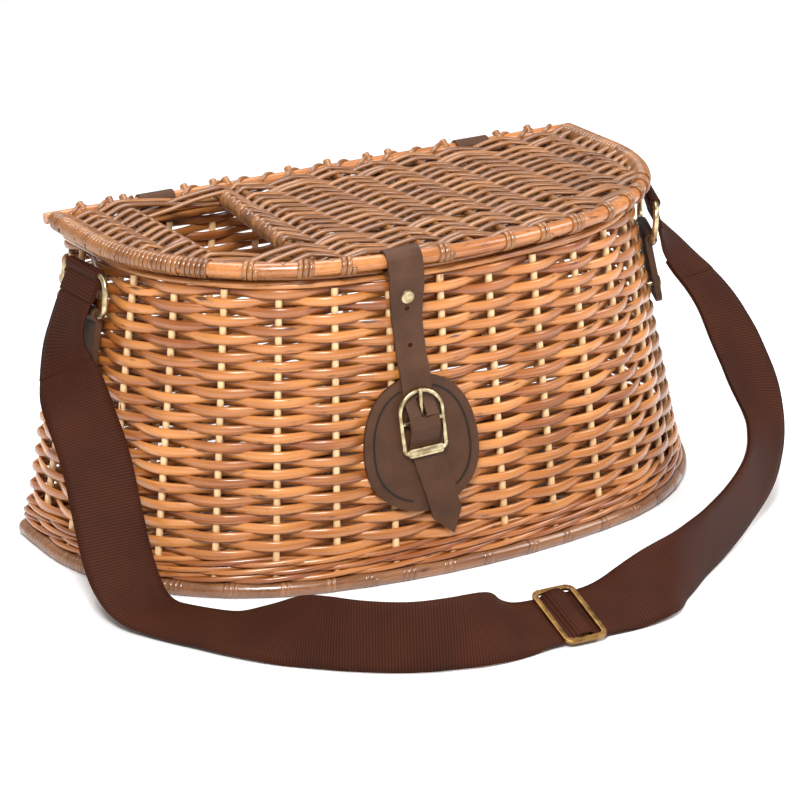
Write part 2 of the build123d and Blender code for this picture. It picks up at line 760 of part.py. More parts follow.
# ---- woven lid ----
with BuildPart() as lid_panel:
    with BuildSketch(Plane.XY.offset(lid_z - lid_panel_thickness / 2)):
        with BuildLine():
            d_closed(lid_shape, lid_inner, lid_back_inner)
        make_face()
        with BuildLine():
            Polyline(
                (slot_left + slot_stake_radius, hinge_y - slot_back),
                (slot_right_back - slot_stake_radius - 3, hinge_y - slot_back),
                (slot_right_front - slot_stake_radius + 2, hinge_y - slot_front),
                (slot_left + slot_stake_radius, hinge_y - slot_front - 4),
                close=True,
            )
        make_face(mode=Mode.SUBTRACT)
        for sign in (-1, 1):
            with Locations((sign * hinge_strap_x, hinge_y)):
                Rectangle(hinge_strap_width + 2, 2 * (loop_outer + 1), mode=Mode.SUBTRACT)
    extrude(amount=lid_panel_thickness)
    for near, far, radius in lid_rods + slot_rods:
        reach = (far - near).normalized() * 6
        add(rod_between(near - reach, far + reach, radius + round_gap), mode=Mode.SUBTRACT)
    with BuildSketch(Plane(origin=rod_point.vertices()[0], x_dir=closure.x_dir, z_dir=(0, 0, 1))):
        Rectangle(strap_top_width + 2, 2 * (strap_ring + leather_thickness + 1))
    extrude(amount=20, both=True, mode=Mode.SUBTRACT)
lid_panel.part.label = "lid_panel"
export_step(lid_panel.part, "parts/lid_panel.step")

# ---- strap rings, each leaning out about its tab's loop ----
ring_planes = {
    "left": turned(tab_planes["left"].offset(ring_out), ring_lean_left, 0),
    "right": turned(tab_planes["right"].offset(ring_out), ring_lean_right, 0),
}
for side, plane in ring_planes.items():
    with BuildPart() as ring:
        with BuildLine(plane) as ring_line:
            wide = ring_inner_width / 2 + ring_wire_radius
            bend = ring_corner * (1 - math.sqrt(0.5))
            corner = ring_corner
            tall = ring_height
            Line((0, 0), (wide - corner, 0))
            ThreePointArc((wide - corner, 0), (wide - bend, bend), (wide, corner))
            Line((wide, corner), (wide, tall - corner))
            ThreePointArc((wide, tall - corner), (wide - bend, tall - bend), (wide - corner, tall))
            Line((wide - corner, tall), (corner - wide, tall))
            ThreePointArc((corner - wide, tall), (bend - wide, tall - bend), (-wide, tall - corner))
            Line((-wide, tall - corner), (-wide, corner))
            ThreePointArc((-wide, corner), (bend - wide, bend), (corner - wide, 0))
            Line((corner - wide, 0), (0, 0))
        path = ring_line.wire()
        with BuildSketch(Plane(origin=path @ 0, z_dir=path % 0)):
            Circle(ring_wire_radius)
        sweep(path=path)
    ring.part.label = "ring_" + side
    export_step(ring.part, "parts/ring_" + side + ".step")

# ---- shoulder strap's ends: a loop round each ring's upper bar, doubled and stitched below it ----
end_hole = ring_wire_radius + running_gap
end_top = (0.0, ring_height - end_hole - 1.2)
end_low = (strap_end_out, end_top[1] - strap_end_length)
strap_tips = {}
strap_leads = {}
for side, plane in ring_planes.items():
    with BuildPart() as strap_end:
        with BuildSketch(side_on(plane)):
            with Locations((0, ring_height)):
                Circle(end_hole + webbing_thickness)
            with BuildLine():
                Line(end_top, end_low)
            trace(line_width=2 * webbing_thickness)
            with Locations((0, ring_height)):
                Circle(end_hole, mode=Mode.SUBTRACT)
        extrude(amount=webbing_width / 2, both=True)
    strap_end.part.label = "strap_end_" + side
    export_step(strap_end.part, "parts/strap_end_" + side + ".step")
    run = (Vector(*end_low) - Vector(*end_top)).normalized()
    tip = Vector(*end_low) + run * seat_gap
    lead = tip + run * strap_lead
    strap_tips[side] = plane.from_local_coords((0, tip.Y, tip.X))
    strap_leads[side] = plane.from_local_coords((0, lead.Y, lead.X))

# ---- shoulder strap: one ribbon of webbing between the two ends ----
left_across = ring_planes["left"].x_dir
right_across = -ring_planes["right"].x_dir
route = [(strap_tips["left"], left_across), (strap_leads["left"], left_across)]
route += strap_route
route += [(strap_leads["right"], right_across), (strap_tips["right"], right_across)]
route_points = [tuple(point) for point, across in route]
route_faces = [Vector(*across).normalized() for point, across in route]
route_bends = bend_radii(route_points, strap_largest_bend)
with BuildLine() as strap_middle_line:
    FilletPolyline(*route_points, radius=route_bends)
strap_path = strap_middle_line.wire()
print("shoulder strap's bends, mm:", [round(radius, 1) for radius in route_bends])
print("shoulder strap's length, mm:", round(strap_path.length, 1))
print("shoulder strap's ends, mm:", route[:2], route[-2:])

steps = [
    (Vector(*after) - Vector(*before)).length for before, after in zip(route_points, route_points[1:])
]
strap_shares = [sum(steps[:count]) / sum(steps) for count in range(len(route_points))]


def strap_plane(share):
    """The plane square to the webbing: X across it, Z along it."""
    distance = share * strap_path.length
    point = strap_path.position_at(distance, position_mode=PositionMode.LENGTH)
    ahead = strap_path.tangent_at(distance, position_mode=PositionMode.LENGTH)
    index = max(count for count, start in enumerate(strap_shares[:-1]) if start <= share)
    part_way = (share - strap_shares[index]) / (strap_shares[index + 1] - strap_shares[index])
    low = route_faces[index]
    high = route_faces[index + 1]
    across = low + (high - low) * part_way
    across = (across - ahead * across.dot(ahead)).normalized()
    return Plane(origin=point, x_dir=across, z_dir=ahead)


slide_share = (strap_shares[slide_station] + strap_shares[slide_station + 1]) / 2
slide_middle = slide_share * strap_path.length
slide_rise = webbing_thickness / 2 + skin_gap + slide_thickness / 2


def webbing_lift(distance):
    """How far the webbing rises to pass over the slide's centre bar."""
    away = abs(distance - slide_middle)
    climb_start = slide_length / 2 - slide_bar - 1
    climb_end = slide_bar / 2 + 1
    climbed = min(1, max(0, (climb_start - away) / (climb_start - climb_end)))
    return 2 * slide_rise * climbed * climbed * (3 - 2 * climbed)


section_count = round(strap_path.length / section_pitch)
sections = [strap_path.length * count / section_count for count in range(section_count + 1)]
climb_count = math.ceil((slide_length / 2 - slide_bar) / climb_pitch)
climb_reach = climb_pitch * (climb_count + 1)
sections = [distance for distance in sections if abs(distance - slide_middle) > climb_reach]
sections += [slide_middle + climb_pitch * count for count in range(-climb_count, climb_count + 1)]

with BuildPart() as shoulder_strap:
    for distance in sorted(sections):
        station = strap_plane(distance / strap_path.length)
        station.origin += station.y_dir * webbing_lift(distance)
        with BuildSketch(station):
            Rectangle(webbing_width, webbing_thickness)
    loft(ruled=True)
shoulder_strap.part.label = "shoulder_strap"
export_step(shoulder_strap.part, "parts/shoulder_strap.step")

# ---- the slide that sets the strap's length ----
slide_station_plane = strap_plane(slide_share)
slide_plane = Plane(
    origin=slide_station_plane.origin + slide_station_plane.y_dir * (slide_rise - slide_thickness / 2),
    x_dir=slide_station_plane.x_dir,
    z_dir=slide_station_plane.y_dir,
)
with BuildPart() as strap_slide:
    with BuildSketch(slide_plane):
        RectangleRounded(slide_width, slide_length, slide_round)
        RectangleRounded(
            slide_width - 2 * slide_bar, slide_length - 2 * slide_bar, slide_round - slide_bar, mode=Mode.SUBTRACT
        )
        Rectangle(slide_width - slide_bar, slide_bar)
    extrude(amount=slide_thickness)
    fillet(strap_slide.edges().filter_by(GeomType.LINE), slide_edge)
strap_slide.part.label = "strap_slide"
export_step(strap_slide.part, "parts/strap_slide.step")
print("slide's middle, mm, and direction:", slide_plane.origin, slide_station_plane.z_dir)
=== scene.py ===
import bpy
import json
import math
import numpy as np
from mathutils import Matrix, Vector

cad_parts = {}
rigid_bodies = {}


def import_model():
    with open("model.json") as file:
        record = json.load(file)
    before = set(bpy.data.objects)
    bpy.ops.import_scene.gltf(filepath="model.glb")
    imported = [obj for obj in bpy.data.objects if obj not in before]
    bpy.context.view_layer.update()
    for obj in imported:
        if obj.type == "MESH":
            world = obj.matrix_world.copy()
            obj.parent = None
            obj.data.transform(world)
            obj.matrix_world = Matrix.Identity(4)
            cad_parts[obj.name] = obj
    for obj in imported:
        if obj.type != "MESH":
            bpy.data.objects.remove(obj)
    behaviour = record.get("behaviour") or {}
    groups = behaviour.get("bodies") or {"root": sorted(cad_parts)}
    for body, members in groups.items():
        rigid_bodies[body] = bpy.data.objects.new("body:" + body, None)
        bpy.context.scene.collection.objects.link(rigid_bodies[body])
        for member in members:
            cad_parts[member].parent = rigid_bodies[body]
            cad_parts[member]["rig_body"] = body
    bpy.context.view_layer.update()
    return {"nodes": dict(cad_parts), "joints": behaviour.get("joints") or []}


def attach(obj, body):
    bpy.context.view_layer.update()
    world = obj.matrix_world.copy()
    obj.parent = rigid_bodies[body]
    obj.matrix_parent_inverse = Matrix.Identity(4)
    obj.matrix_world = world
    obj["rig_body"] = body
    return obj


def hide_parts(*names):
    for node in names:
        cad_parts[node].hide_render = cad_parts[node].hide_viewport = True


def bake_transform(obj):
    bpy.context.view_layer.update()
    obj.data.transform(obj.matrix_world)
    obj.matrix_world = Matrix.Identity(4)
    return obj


# Wicker fishing creel. Metres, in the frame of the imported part: +X along the basket, -Y its front, +Z up.
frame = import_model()
nodes = frame["nodes"]
joints = {joint["name"]: joint for joint in frame["joints"]}
chance = np.random.default_rng(7)

# Each outline is a D with its flat at the back. Its ends are straight over a share of its depth.
form = {
    "base": {"halfWidth": 0.211, "depth": 0.203, "back": 0.1032, "frontRadius": 0.4, "straight": 0.23},
    "top": {"halfWidth": 0.1715, "depth": 0.1917, "back": 0.1032, "frontRadius": 0.2965, "straight": 0.3},
    "lid": {"halfWidth": 0.175, "depth": 0.192, "back": 0.1, "frontRadius": 0.3, "straight": 0.3},
    "samples": {"end": 30, "corner": 80, "front": 120, "back": 8},
    "backRound": 0.009,
    "leastRound": 0.001,
    "wallTop": 0.178,
    "wallFoot": 0.0226,
    "wallMiddle": 0.0046,
    "frontStakes": 18,
    "backStakes": 12,
}
lidLevel = joints["lid_hinge"]["pos_m"][2]
footLevel = 0.0042  # the middle of the base's rod and weave
footInset = 0.0045  # from the base's outline to the middle of its rod


def unit(vectors):
    return vectors / np.linalg.norm(vectors, axis=1)[:, None]


# The direction of a line at each of its points.
def headings(points, closed=False):
    if closed:
        return unit(np.roll(points, -1, axis=0) - np.roll(points, 1, axis=0))
    return unit(np.gradient(points, axis=0))


# Directions turned square to a line.
def squareTo(ahead, directions):
    return unit(directions - ahead * np.sum(directions * ahead, axis=1)[:, None])


# The length along a line at each of its points.
def lengthAlong(points):
    return np.concatenate([[0], np.cumsum(np.linalg.norm(np.diff(points, axis=0), axis=1))])


# Values known at some lengths, one row each, at other lengths.
def blendRows(lengths, known, rows):
    return np.stack([np.interp(lengths, known, column) for column in rows.T], 1)


def pointsAt(points, lengths):
    return blendRows(lengths, lengthAlong(points), points)


def arcPoints(centre, radius, angles):
    return centre + radius * np.stack([np.cos(angles), np.sin(angles)], 1)


def mirrored(points):
    return points[::-1] * [-1, 1]


# The two ends and front of a D, moved in by inset: straight, corner arc, front arc, corner arc, straight.
def frontLine(shape, inset, backInset):
    halfWidth = shape["halfWidth"]
    frontRadius = shape["frontRadius"]
    samples = form["samples"]
    frontY = shape["back"] - shape["depth"]
    sideY = shape["back"] - shape["straight"] * shape["depth"]
    reach = sideY - frontY
    corner = (2 * frontRadius * reach - halfWidth**2 - reach**2) / (2 * (frontRadius - halfWidth))
    frontCentre = np.array([0, frontY + frontRadius])
    cornerCentre = np.array([corner - halfWidth, sideY])
    away = (cornerCentre - frontCentre) / np.linalg.norm(cornerCentre - frontCentre)
    meetAngle = math.atan2(away[1], away[0]) % (2 * math.pi)
    sideX = inset - halfWidth
    end = np.linspace([sideX, shape["back"] - backInset], [sideX, sideY], samples["end"])[:-1]
    cornerAngles = np.linspace(math.pi, meetAngle, samples["corner"])[:-1]
    bend = arcPoints(cornerCentre, corner - inset, cornerAngles)
    frontAngles = np.linspace(meetAngle, 1.5 * math.pi, samples["front"])
    front = arcPoints(frontCentre, frontRadius - inset, frontAngles)
    left = np.concatenate([end, bend, front])
    return np.concatenate([left, mirrored(left[:-1])])


# A closed D, moved in by inset, and the length along it at each upright stake.
def roundLine(shape, inset):
    rounding = form["backRound"] - min(inset, form["backRound"] - form["leastRound"])
    front = frontLine(shape, inset, inset + form["backRound"])
    sideX = shape["halfWidth"] - inset
    endY = shape["back"] - inset - rounding
    turn = np.linspace(0, math.pi / 2, form["samples"]["back"])
    arc = arcPoints([sideX - rounding, endY], rounding, turn)
    line = np.concatenate([front, arc, mirrored(arc), front[:1]])
    frontLength = lengthAlong(front)[-1]
    arcLength = rounding * math.pi / 2 + max(0, endY - front[-1][1])
    frontCount = form["frontStakes"]
    backCount = form["backStakes"]
    stakes = (np.arange(frontCount) + 0.5) / frontCount * frontLength
    backXs = (np.arange(backCount)[::-1] - (backCount - 1) / 2) / backCount * 2 * shape["halfWidth"]
    backStakes = frontLength + arcLength + (sideX - rounding) - backXs
    return line, np.concatenate([stakes, backStakes])


baseLine, baseStakes = roundLine(form["base"], form["wallMiddle"])
topLine, topStakes = roundLine(form["top"], form["wallMiddle"])
stakeCount = len(baseStakes)


# A closed line's points at spots counted in stakes.
def atStake(line, stakes, spots):
    whole = lengthAlong(line)[-1]
    known = np.concatenate([[stakes[-1] - whole], stakes, [stakes[0] + whole]])
    return pointsAt(line, np.interp(spots, np.arange(-1, stakeCount + 1), known) % whole)


# The middle of the wall and its outward direction, at spots counted in stakes and at heights.
def wallLine(spots, level):
    share = (level / form["wallTop"])[:, None]
    flat = atStake(baseLine, baseStakes, spots) * (1 - share) + atStake(topLine, topStakes, spots) * share
    ahead = headings(flat, True)
    out = np.stack([ahead[:, 1], -ahead[:, 0], np.zeros(len(flat))], 1)
    return np.column_stack([flat, level]), out


# Spots all round the basket, counted in stakes.
def spotsRound(samples):
    return np.arange(stakeCount * samples) / samples


grainShift = 3.7  # along the grain from one rod to the next
grainRange = 11


# The four-sided faces between rings of corners that follow one another, and round to the first if closed.
def ringFaces(ringCount, sides, closed):
    rows = np.arange(ringCount if closed else ringCount - 1)[:, None]
    columns = np.arange(sides)[None, :]
    nextRow = (rows + 1) % ringCount
    nextColumn = (columns + 1) % sides
    faces = [
        rows * sides + columns,
        nextRow * sides + columns,
        nextRow * sides + nextColumn,
        rows * sides + nextColumn,
    ]
    return np.stack(faces, -1).reshape(-1, 4)


# Tubes of oval section along lines of points. A corner is at
# point + half * cos(turn) * out + height * sin(turn) * (ahead x out), and tone is from dark to light.
class Rods:
    def __init__(self, sides=8):
        self.sides = sides
        self.corners = []
        self.grain = []
        self.tone = []
        self.quads = []
        self.caps = []
        self.count = 0

    def add(self, points, out, half, height, closed, tone):
        number = len(points)
        sides = self.sides
        first = sum(len(part) for part in self.corners)
        ahead = headings(points, closed)
        out = squareTo(ahead, out)
        across = np.cross(ahead, out)
        half = np.broadcast_to(half, number)[:, None, None]
        height = np.broadcast_to(height, number)[:, None, None]
        turn = np.arange(sides) / sides * 2 * math.pi
        ring = half * np.cos(turn)[None, :, None] * out[:, None, :]
        ring = ring + height * np.sin(turn)[None, :, None] * across[:, None, :]
        self.corners.append((points[:, None, :] + ring).reshape(-1, 3))
        along = np.repeat(lengthAlong(points), sides) + grainShift * self.count % grainRange
        around = np.tile(np.stack([np.cos(turn), np.sin(turn)], 1) * float(np.mean(height)), (number, 1))
        self.grain.append(np.column_stack([along, around]))
        self.tone.append(np.broadcast_to(tone, number).repeat(sides))
        self.quads.append(first + ringFaces(number, sides, closed))
        if not closed:
            self.caps.append(first + np.arange(sides))
            self.caps.append(first + (number - 1) * sides + np.arange(sides)[::-1])
        self.count += 1

    def make(self, name, body, material, replaced=None):
        quads = np.concatenate(self.quads)
        loops = np.concatenate([quads.ravel()] + self.caps)
        totals = np.concatenate([np.full(len(quads), 4), np.full(len(self.caps), self.sides)]).astype(int)
        mesh = meshFrom(name, np.concatenate(self.corners), loops, totals)
        setAttribute(mesh, "grain", "FLOAT_VECTOR", "vector", np.concatenate(self.grain))
        setAttribute(mesh, "tone", "FLOAT", "value", np.concatenate(self.tone))
        piece = place(name, mesh, body, material)
        if replaced:
            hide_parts(replaced)


def meshFrom(name, corners, loops, totals):
    mesh = bpy.data.meshes.new(name)
    mesh.vertices.add(len(corners))
    mesh.vertices.foreach_set("co", np.asarray(corners, np.float32).ravel())
    mesh.loops.add(len(loops))
    mesh.loops.foreach_set("vertex_index", np.asarray(loops, np.int32))
    mesh.polygons.add(len(totals))
    starts = np.concatenate([[0], np.cumsum(totals)[:-1]])
    mesh.polygons.foreach_set("loop_start", np.asarray(starts, np.int32))
    mesh.polygons.foreach_set("loop_total", np.asarray(totals, np.int32))
    mesh.polygons.foreach_set("use_smooth", np.ones(len(totals), bool))
    mesh.update(calc_edges=True)
    mesh.validate()
    return mesh


def setAttribute(mesh, name, kind, field, values):
    attribute = mesh.attributes.new(name, kind, "POINT")
    attribute.data.foreach_set(field, np.asarray(values, np.float32).ravel())


# A new piece of a mesh.
def place(name, mesh, body, material):
    piece = bpy.data.objects.new(name, mesh)
    bpy.context.scene.collection.objects.link(piece)
    mesh.materials.append(material)
    if body:
        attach(piece, body)
    return piece


# Gives CAD nodes that still show a material.
def paint(names, material):
    for name in names:
        nodes[name].data.materials.clear()
        nodes[name].data.materials.append(material)


waves = {"count": 4, "phase": 6.3, "scale": 1.6}


# A smooth wave between about -1 and 1: sines of random phase, the longest as long as said.
def wander(along, longest):
    total = 0
    for number in range(1, waves["count"] + 1):
        phase = chance.uniform(0, waves["phase"])
        total = total + np.sin(along * 2 * math.pi * number / longest + phase) / number
    return total / waves["scale"]


# A wander of a size, with its longest wave.
def drift(along, sizeAndLongest):
    size, longest = sizeAndLongest
    return size * wander(along, longest)


# A node tree, and short ways to add nodes to it. An input is another node's output or a plain value.
class Tree:
    def __init__(self, tree):
        self.nodes = tree.nodes
        self.links = tree.links

    def feed(self, sockets, inputs):
        for name, value in inputs.items():
            if isinstance(value, bpy.types.NodeSocket):
                self.links.new(value, sockets[name])
            else:
                sockets[name].default_value = value

    def add(self, kind, inputs, **settings):
        node = self.nodes.new("ShaderNode" + kind)
        for name, value in settings.items():
            setattr(node, name, value)
        self.feed(node.inputs, inputs)
        return node.outputs

    def noise(self, vector, size, detail):
        return self.add("TexNoise", {"Vector": vector, "Scale": size, "Detail": detail})["Fac"]

    def ramp(self, value, low, high, easing):
        inputs = {"Value": value, "From Min": low, "From Max": high}
        return self.add("MapRange", inputs, interpolation_type=easing)[0]

    def maths(self, operation, first, second):
        return self.add("Math", {0: first, 1: second}, operation=operation)[0]

    # Inputs 6 and 7 and output 2 are the Mix node's colours.
    def mix(self, share, first, second, blend="MIX"):
        return self.add("Mix", {0: share, 6: first, 7: second}, data_type="RGBA", blend_type=blend)[2]

    def bump(self, height, strength, depth):
        return self.add("Bump", {"Height": height, "Strength": strength, "Distance": depth})[0]


def newMaterial(name):
    material = bpy.data.materials.new(name)
    material.use_nodes = True
    tree = Tree(material.node_tree)
    return material, tree, tree.nodes["Principled BSDF"].inputs


def newGroup(name, inputs, outputs):
    group = bpy.data.node_groups.new(name, "ShaderNodeTree")
    for side, sockets in (("INPUT", inputs), ("OUTPUT", outputs)):
        for socket, kind in sockets.items():
            group.interface.new_socket(socket, in_out=side, socket_type="NodeSocket" + kind)
    tree = Tree(group)
    source = tree.nodes.new("NodeGroupInput").outputs
    sink = tree.nodes.new("NodeGroupOutput").inputs
    return group, tree, source, sink


# Each cloud of noise is a stretch along, across and across the grain, and a level of detail.
grain = {
    "fibre": ((14, 900, 900), 3),
    "blotch": ((22, 60, 60), 2),
    "speck": ((70, 260, 260), 2),
    "fibreShare": 0.55,
    "blotchShare": 0.7,
    "toneShare": 0.9,
    "lightRange": (0.68, 1.5),
    "stainRange": (0.64, 0.78),
    "speckHeight": 0.5,
    "roughness": 0.16,
    "roughnessSpread": 0.3,
    "bumpStrength": 0.35,
    "bumpDepth": 0.0004,
    "coat": 0.6,
    "coatRoughness": 0.16,
}


# Willow's colour: long fibres, blotches and knots, between a light and a dark tone.
def willowGroup():
    group, tree, source, sink = newGroup(
        "willowGrain",
        {"Grain": "Vector", "Tone": "Float", "Light": "Color", "Dark": "Color", "Stain": "Color"},
        {"Color": "Color", "Height": "Float", "Roughness": "Float"},
    )
    clouds = []
    for name in ("fibre", "blotch", "speck"):
        stretch, detail = grain[name]
        vector = tree.add("Mapping", {"Vector": source["Grain"], "Scale": stretch})[0]
        clouds.append(tree.noise(vector, 1.0, detail))
    fibre, blotch, speck = clouds
    fibrePart = tree.maths("MULTIPLY", fibre, grain["fibreShare"])
    blotchPart = tree.maths("MULTIPLY", blotch, grain["blotchShare"])
    tonePart = tree.maths("MULTIPLY", source["Tone"], grain["toneShare"])
    share = tree.maths("ADD", tree.maths("ADD", fibrePart, blotchPart), tonePart)
    lightness = tree.ramp(share, *grain["lightRange"], "SMOOTHSTEP")
    stained = tree.ramp(speck, *grain["stainRange"], "SMOOTHSTEP")
    wood = tree.mix(lightness, source["Dark"], source["Light"])
    speckHeight = tree.maths("MULTIPLY", speck, grain["speckHeight"])
    spread = tree.maths("MULTIPLY", blotch, grain["roughnessSpread"])
    tree.feed(sink, {
        "Color": tree.mix(stained, wood, source["Stain"]),
        "Height": tree.maths("ADD", fibre, speckHeight),
        "Roughness": tree.maths("ADD", grain["roughness"], spread),
    })
    return group


willow = willowGroup()


# Varnished willow. Woven rods carry their own grain and tone; a CAD rod takes them from its place.
def willowMaterial(name, colours, woven, tone=0.5, turned=(0, 0, 0)):
    material, tree, shader = newMaterial(name)
    if woven:
        along = tree.add("Attribute", {}, attribute_name="grain")["Vector"]
        tone = tree.add("Attribute", {}, attribute_name="tone")["Fac"]
    else:
        where = tree.add("TexCoord", {})["Object"]
        along = tree.add("Mapping", {"Vector": where, "Rotation": turned})[0]
    wood = tree.add("Group", {"Grain": along, "Tone": tone, **colours}, node_tree=willow)
    tree.feed(shader, {
        "Base Color": wood["Color"],
        "Roughness": wood["Roughness"],
        "Normal": tree.bump(wood["Height"], grain["bumpStrength"], grain["bumpDepth"]),
        "Coat Weight": grain["coat"],
        "Coat Roughness": grain["coatRoughness"],
    })
    return material


stain = (0.1, 0.035, 0.012, 1)
wicker = {
    "wall": {"Light": (0.6, 0.235, 0.06, 1), "Dark": (0.22, 0.055, 0.009, 1), "Stain": stain},
    "lid": {"Light": (0.34, 0.138, 0.04, 1), "Dark": (0.13, 0.042, 0.01, 1), "Stain": stain},
    "foot": {"Light": (0.3, 0.13, 0.05, 1), "Dark": (0.12, 0.04, 0.012, 1), "Stain": stain},
    "peeled": {
        "Light": (0.85, 0.56, 0.29, 1),
        "Dark": (0.52, 0.27, 0.1, 1),
        "Stain": (0.22, 0.055, 0.009, 1),
    },
}
upright = (0, math.pi / 2, 0)
sideways = (0, 0, math.pi / 2)
weaver = willowMaterial("weaver", wicker["wall"], True)
lidWeaver = willowMaterial("lidWeaver", wicker["lid"], True)
footWeaver = willowMaterial("footWeaver", wicker["foot"], True)
frameRod = willowMaterial("frameRod", wicker["wall"], False)
footRod = willowMaterial("footRod", wicker["foot"], False)
uprights = willowMaterial("peeledStake", wicker["peeled"], False, tone=0.62, turned=upright)
slats = willowMaterial("peeledSlat", wicker["lid"], False, turned=sideways)

patches = {"range": (0.33, 0.68), "cloudDetail": 4, "fineDetail": 3, "roughnessReach": 0.1, "bump": 0.6}


# What leather, thread, webbing and metal share: a colour in patches, a fine bump and a roughness.
def patchyGroup():
    group, tree, source, sink = newGroup(
        "patchySurface",
        {"Place": "Vector", "Light": "Color", "Dark": "Color", "Patch Scale": "Float", "Bump Scale": "Float",
         "Middle Roughness": "Float"},
        {"Color": "Color", "Height": "Float", "Roughness": "Float"},
    )
    cloud = tree.noise(source["Place"], source["Patch Scale"], patches["cloudDetail"])
    reach = patches["roughnessReach"]
    offset = tree.add("MapRange", {"Value": cloud, "To Min": -reach, "To Max": reach})[0]
    share = tree.ramp(cloud, *patches["range"], "LINEAR")
    tree.feed(sink, {
        "Color": tree.mix(share, source["Dark"], source["Light"]),
        "Height": tree.noise(source["Place"], source["Bump Scale"], patches["fineDetail"]),
        "Roughness": tree.maths("ADD", source["Middle Roughness"], offset),
    })
    return group


patchy = patchyGroup()
surfaces = {
    "leather": {
        "Light": (0.078, 0.033, 0.016, 1),
        "Dark": (0.052, 0.022, 0.011, 1),
        "Patch Scale": 60,
        "Bump Scale": 900,
        "Middle Roughness": 0.48,
    },
    "thread": {
        "Light": (0.025, 0.017, 0.013, 1),
        "Dark": (0.012, 0.009, 0.007, 1),
        "Patch Scale": 30,
        "Bump Scale": 2000,
        "Middle Roughness": 0.7,
    },
    "webbing": {
        "Light": (0.055, 0.013, 0.0045, 1),
        "Dark": (0.037, 0.0085, 0.003, 1),
        "Patch Scale": 30,
        "Bump Scale": 1500,
        "Middle Roughness": 0.7,
    },
    "antiqueBrass": {
        "Light": (0.78, 0.66, 0.4, 1),
        "Dark": (0.3, 0.21, 0.1, 1),
        "Patch Scale": 220,
        "Bump Scale": 500,
        "Middle Roughness": 0.32,
    },
    "darkBronze": {
        "Light": (0.36, 0.2, 0.065, 1),
        "Dark": (0.16, 0.085, 0.028, 1),
        "Patch Scale": 160,
        "Bump Scale": 500,
        "Middle Roughness": 0.34,
    },
}
ribs = {
    "pitch": 0.0017,
    "band": 0.314,  # a wave's band is 2 pi / 20 / its scale long
    "distortion": 0.25,
    "fineShare": 0.35,
    # painted shade in the hollows between the ribs
    "darkFrom": 0.8,
    "dark": (0.38, 0.38, 0.38, 1),
}


# Ribs across the webbing: painted shade darkens the hollows, and the ribs are raised over the fine bump.
def addRibs(tree, colour, fine):
    inputs = {
        "Vector": tree.add("Attribute", {}, attribute_name="grain")["Vector"],
        "Scale": ribs["band"] / ribs["pitch"],
        "Distortion": ribs["distortion"],
    }
    wave = tree.add("TexWave", inputs, bands_direction="X")["Fac"]
    height = tree.add("Math", {0: fine, 1: ribs["fineShare"], 2: wave}, operation="MULTIPLY_ADD")[0]
    # Painted shade: the colour is darkened where the wave dips into a hollow.
    hollowShade = tree.add("Math", {0: ribs["darkFrom"], 1: wave}, operation="SUBTRACT", use_clamp=True)[0]
    return tree.mix(hollowShade, colour, ribs["dark"], "MULTIPLY"), height


def surface(name, bumpDepth, specular, metal=0.0, ribbed=False):
    material, tree, shader = newMaterial(name)
    where = tree.add("TexCoord", {})["Object"]
    look = tree.add("Group", {"Place": where, **surfaces[name]}, node_tree=patchy)
    colour = look["Color"]
    height = look["Height"]
    if ribbed:
        colour, height = addRibs(tree, colour, height)
    tree.feed(shader, {
        "Base Color": colour,
        "Roughness": look["Roughness"],
        "Normal": tree.bump(height, patches["bump"], bumpDepth),
        "Metallic": metal,
        "Specular IOR Level": specular,
    })
    return material


leather = surface("leather", 0.0004, 0.22)
thread = surface("thread", 0.0003, 0.22)
webbing = surface("webbing", 0.0003, 0.12, ribbed=True)
brass = surface("antiqueBrass", 0.0001, 0.5, metal=1.0)
bronze = surface("darkBronze", 0.0001, 0.5, metal=1.0)
print("materials made")


# For every woven rod, half is half its thickness and height half its height. A drift is its size and its
# longest wave, which is counted in stakes here.
wall = {
    "rowPitch": 0.00515,
    "half": 0.00125,
    "height": 0.0029,
    "samples": 9,
    "weave": 0.003,
    "bulge": 0.1,
    "thickness": (0.93, 1.05),
    "slowDrift": (0.00025, 30),
    "fastDrift": (0.00015, 7),
    "bulgeDrift": (0.04, 15),
    "toneDrift": (0.1, 20),
    "tone": 0.5,
    "rodStakes": 8.3,
    "rodSpread": 9,
    "rodsPerRow": 7,
    "rodTone": 0.17,
    "rodToneStep": 12.9898,
    # painted light where a rod passes in front of a stake, painted shade where it goes behind one
    "outerTone": 0.06,
}


# English randing: each row goes before one stake and behind the next, and the next row the other way. A row
# is the wall's line, moved out and in by a cosine that turns once in two stakes.
def weaveWall():
    rods = Rods()
    rise = form["wallTop"] - form["wallFoot"]
    rows = int(round(rise / wall["rowPitch"]))
    pitch = rise / rows
    spots = spotsRound(wall["samples"])
    for row in range(rows):
        swing = np.cos(math.pi * (spots + row))
        level = form["wallFoot"] + (row + 0.5) * pitch
        level = level + drift(spots, wall["slowDrift"]) + drift(spots, wall["fastDrift"])
        middle, out = wallLine(spots, level)
        thick = chance.uniform(*wall["thickness"])
        bulge = 1 + wall["bulge"] * swing + drift(spots, wall["bulgeDrift"])
        start = chance.uniform(0, wall["rodSpread"])
        rodNumber = np.floor((spots + start) / wall["rodStakes"]) + row * wall["rodsPerRow"]
        tone = wall["tone"] + wall["rodTone"] * np.sin(rodNumber * wall["rodToneStep"])
        # Painted light and shade: each rod is lighter where it swings out in front of a stake and darker
        # where it goes behind one.
        tone = tone + drift(spots, wall["toneDrift"]) + wall["outerTone"] * swing
        middle = middle + out * (swing * wall["weave"])[:, None]
        rods.add(middle, out, wall["half"] * thick, wall["height"] * thick * bulge, True, tone)
    rods.make("wallWeave", "basket", weaver, "basket_wall")


weaveWall()
paint(["wall_stakes"], uprights)
print("wall woven")


wale = {
    "rounds": 3,
    "strands": 3,
    "samples": 8,
    "roundHeight": 0.0046,
    "half": 0.0016,
    "height": 0.0017,
    "sway": 0.0029,
    "lift": 0.0013,
    "turnStakes": 3,
    "roundShift": 0.17,
    "tones": (0.25, 0.5),
    "toneDrift": (0.15, 12),
}


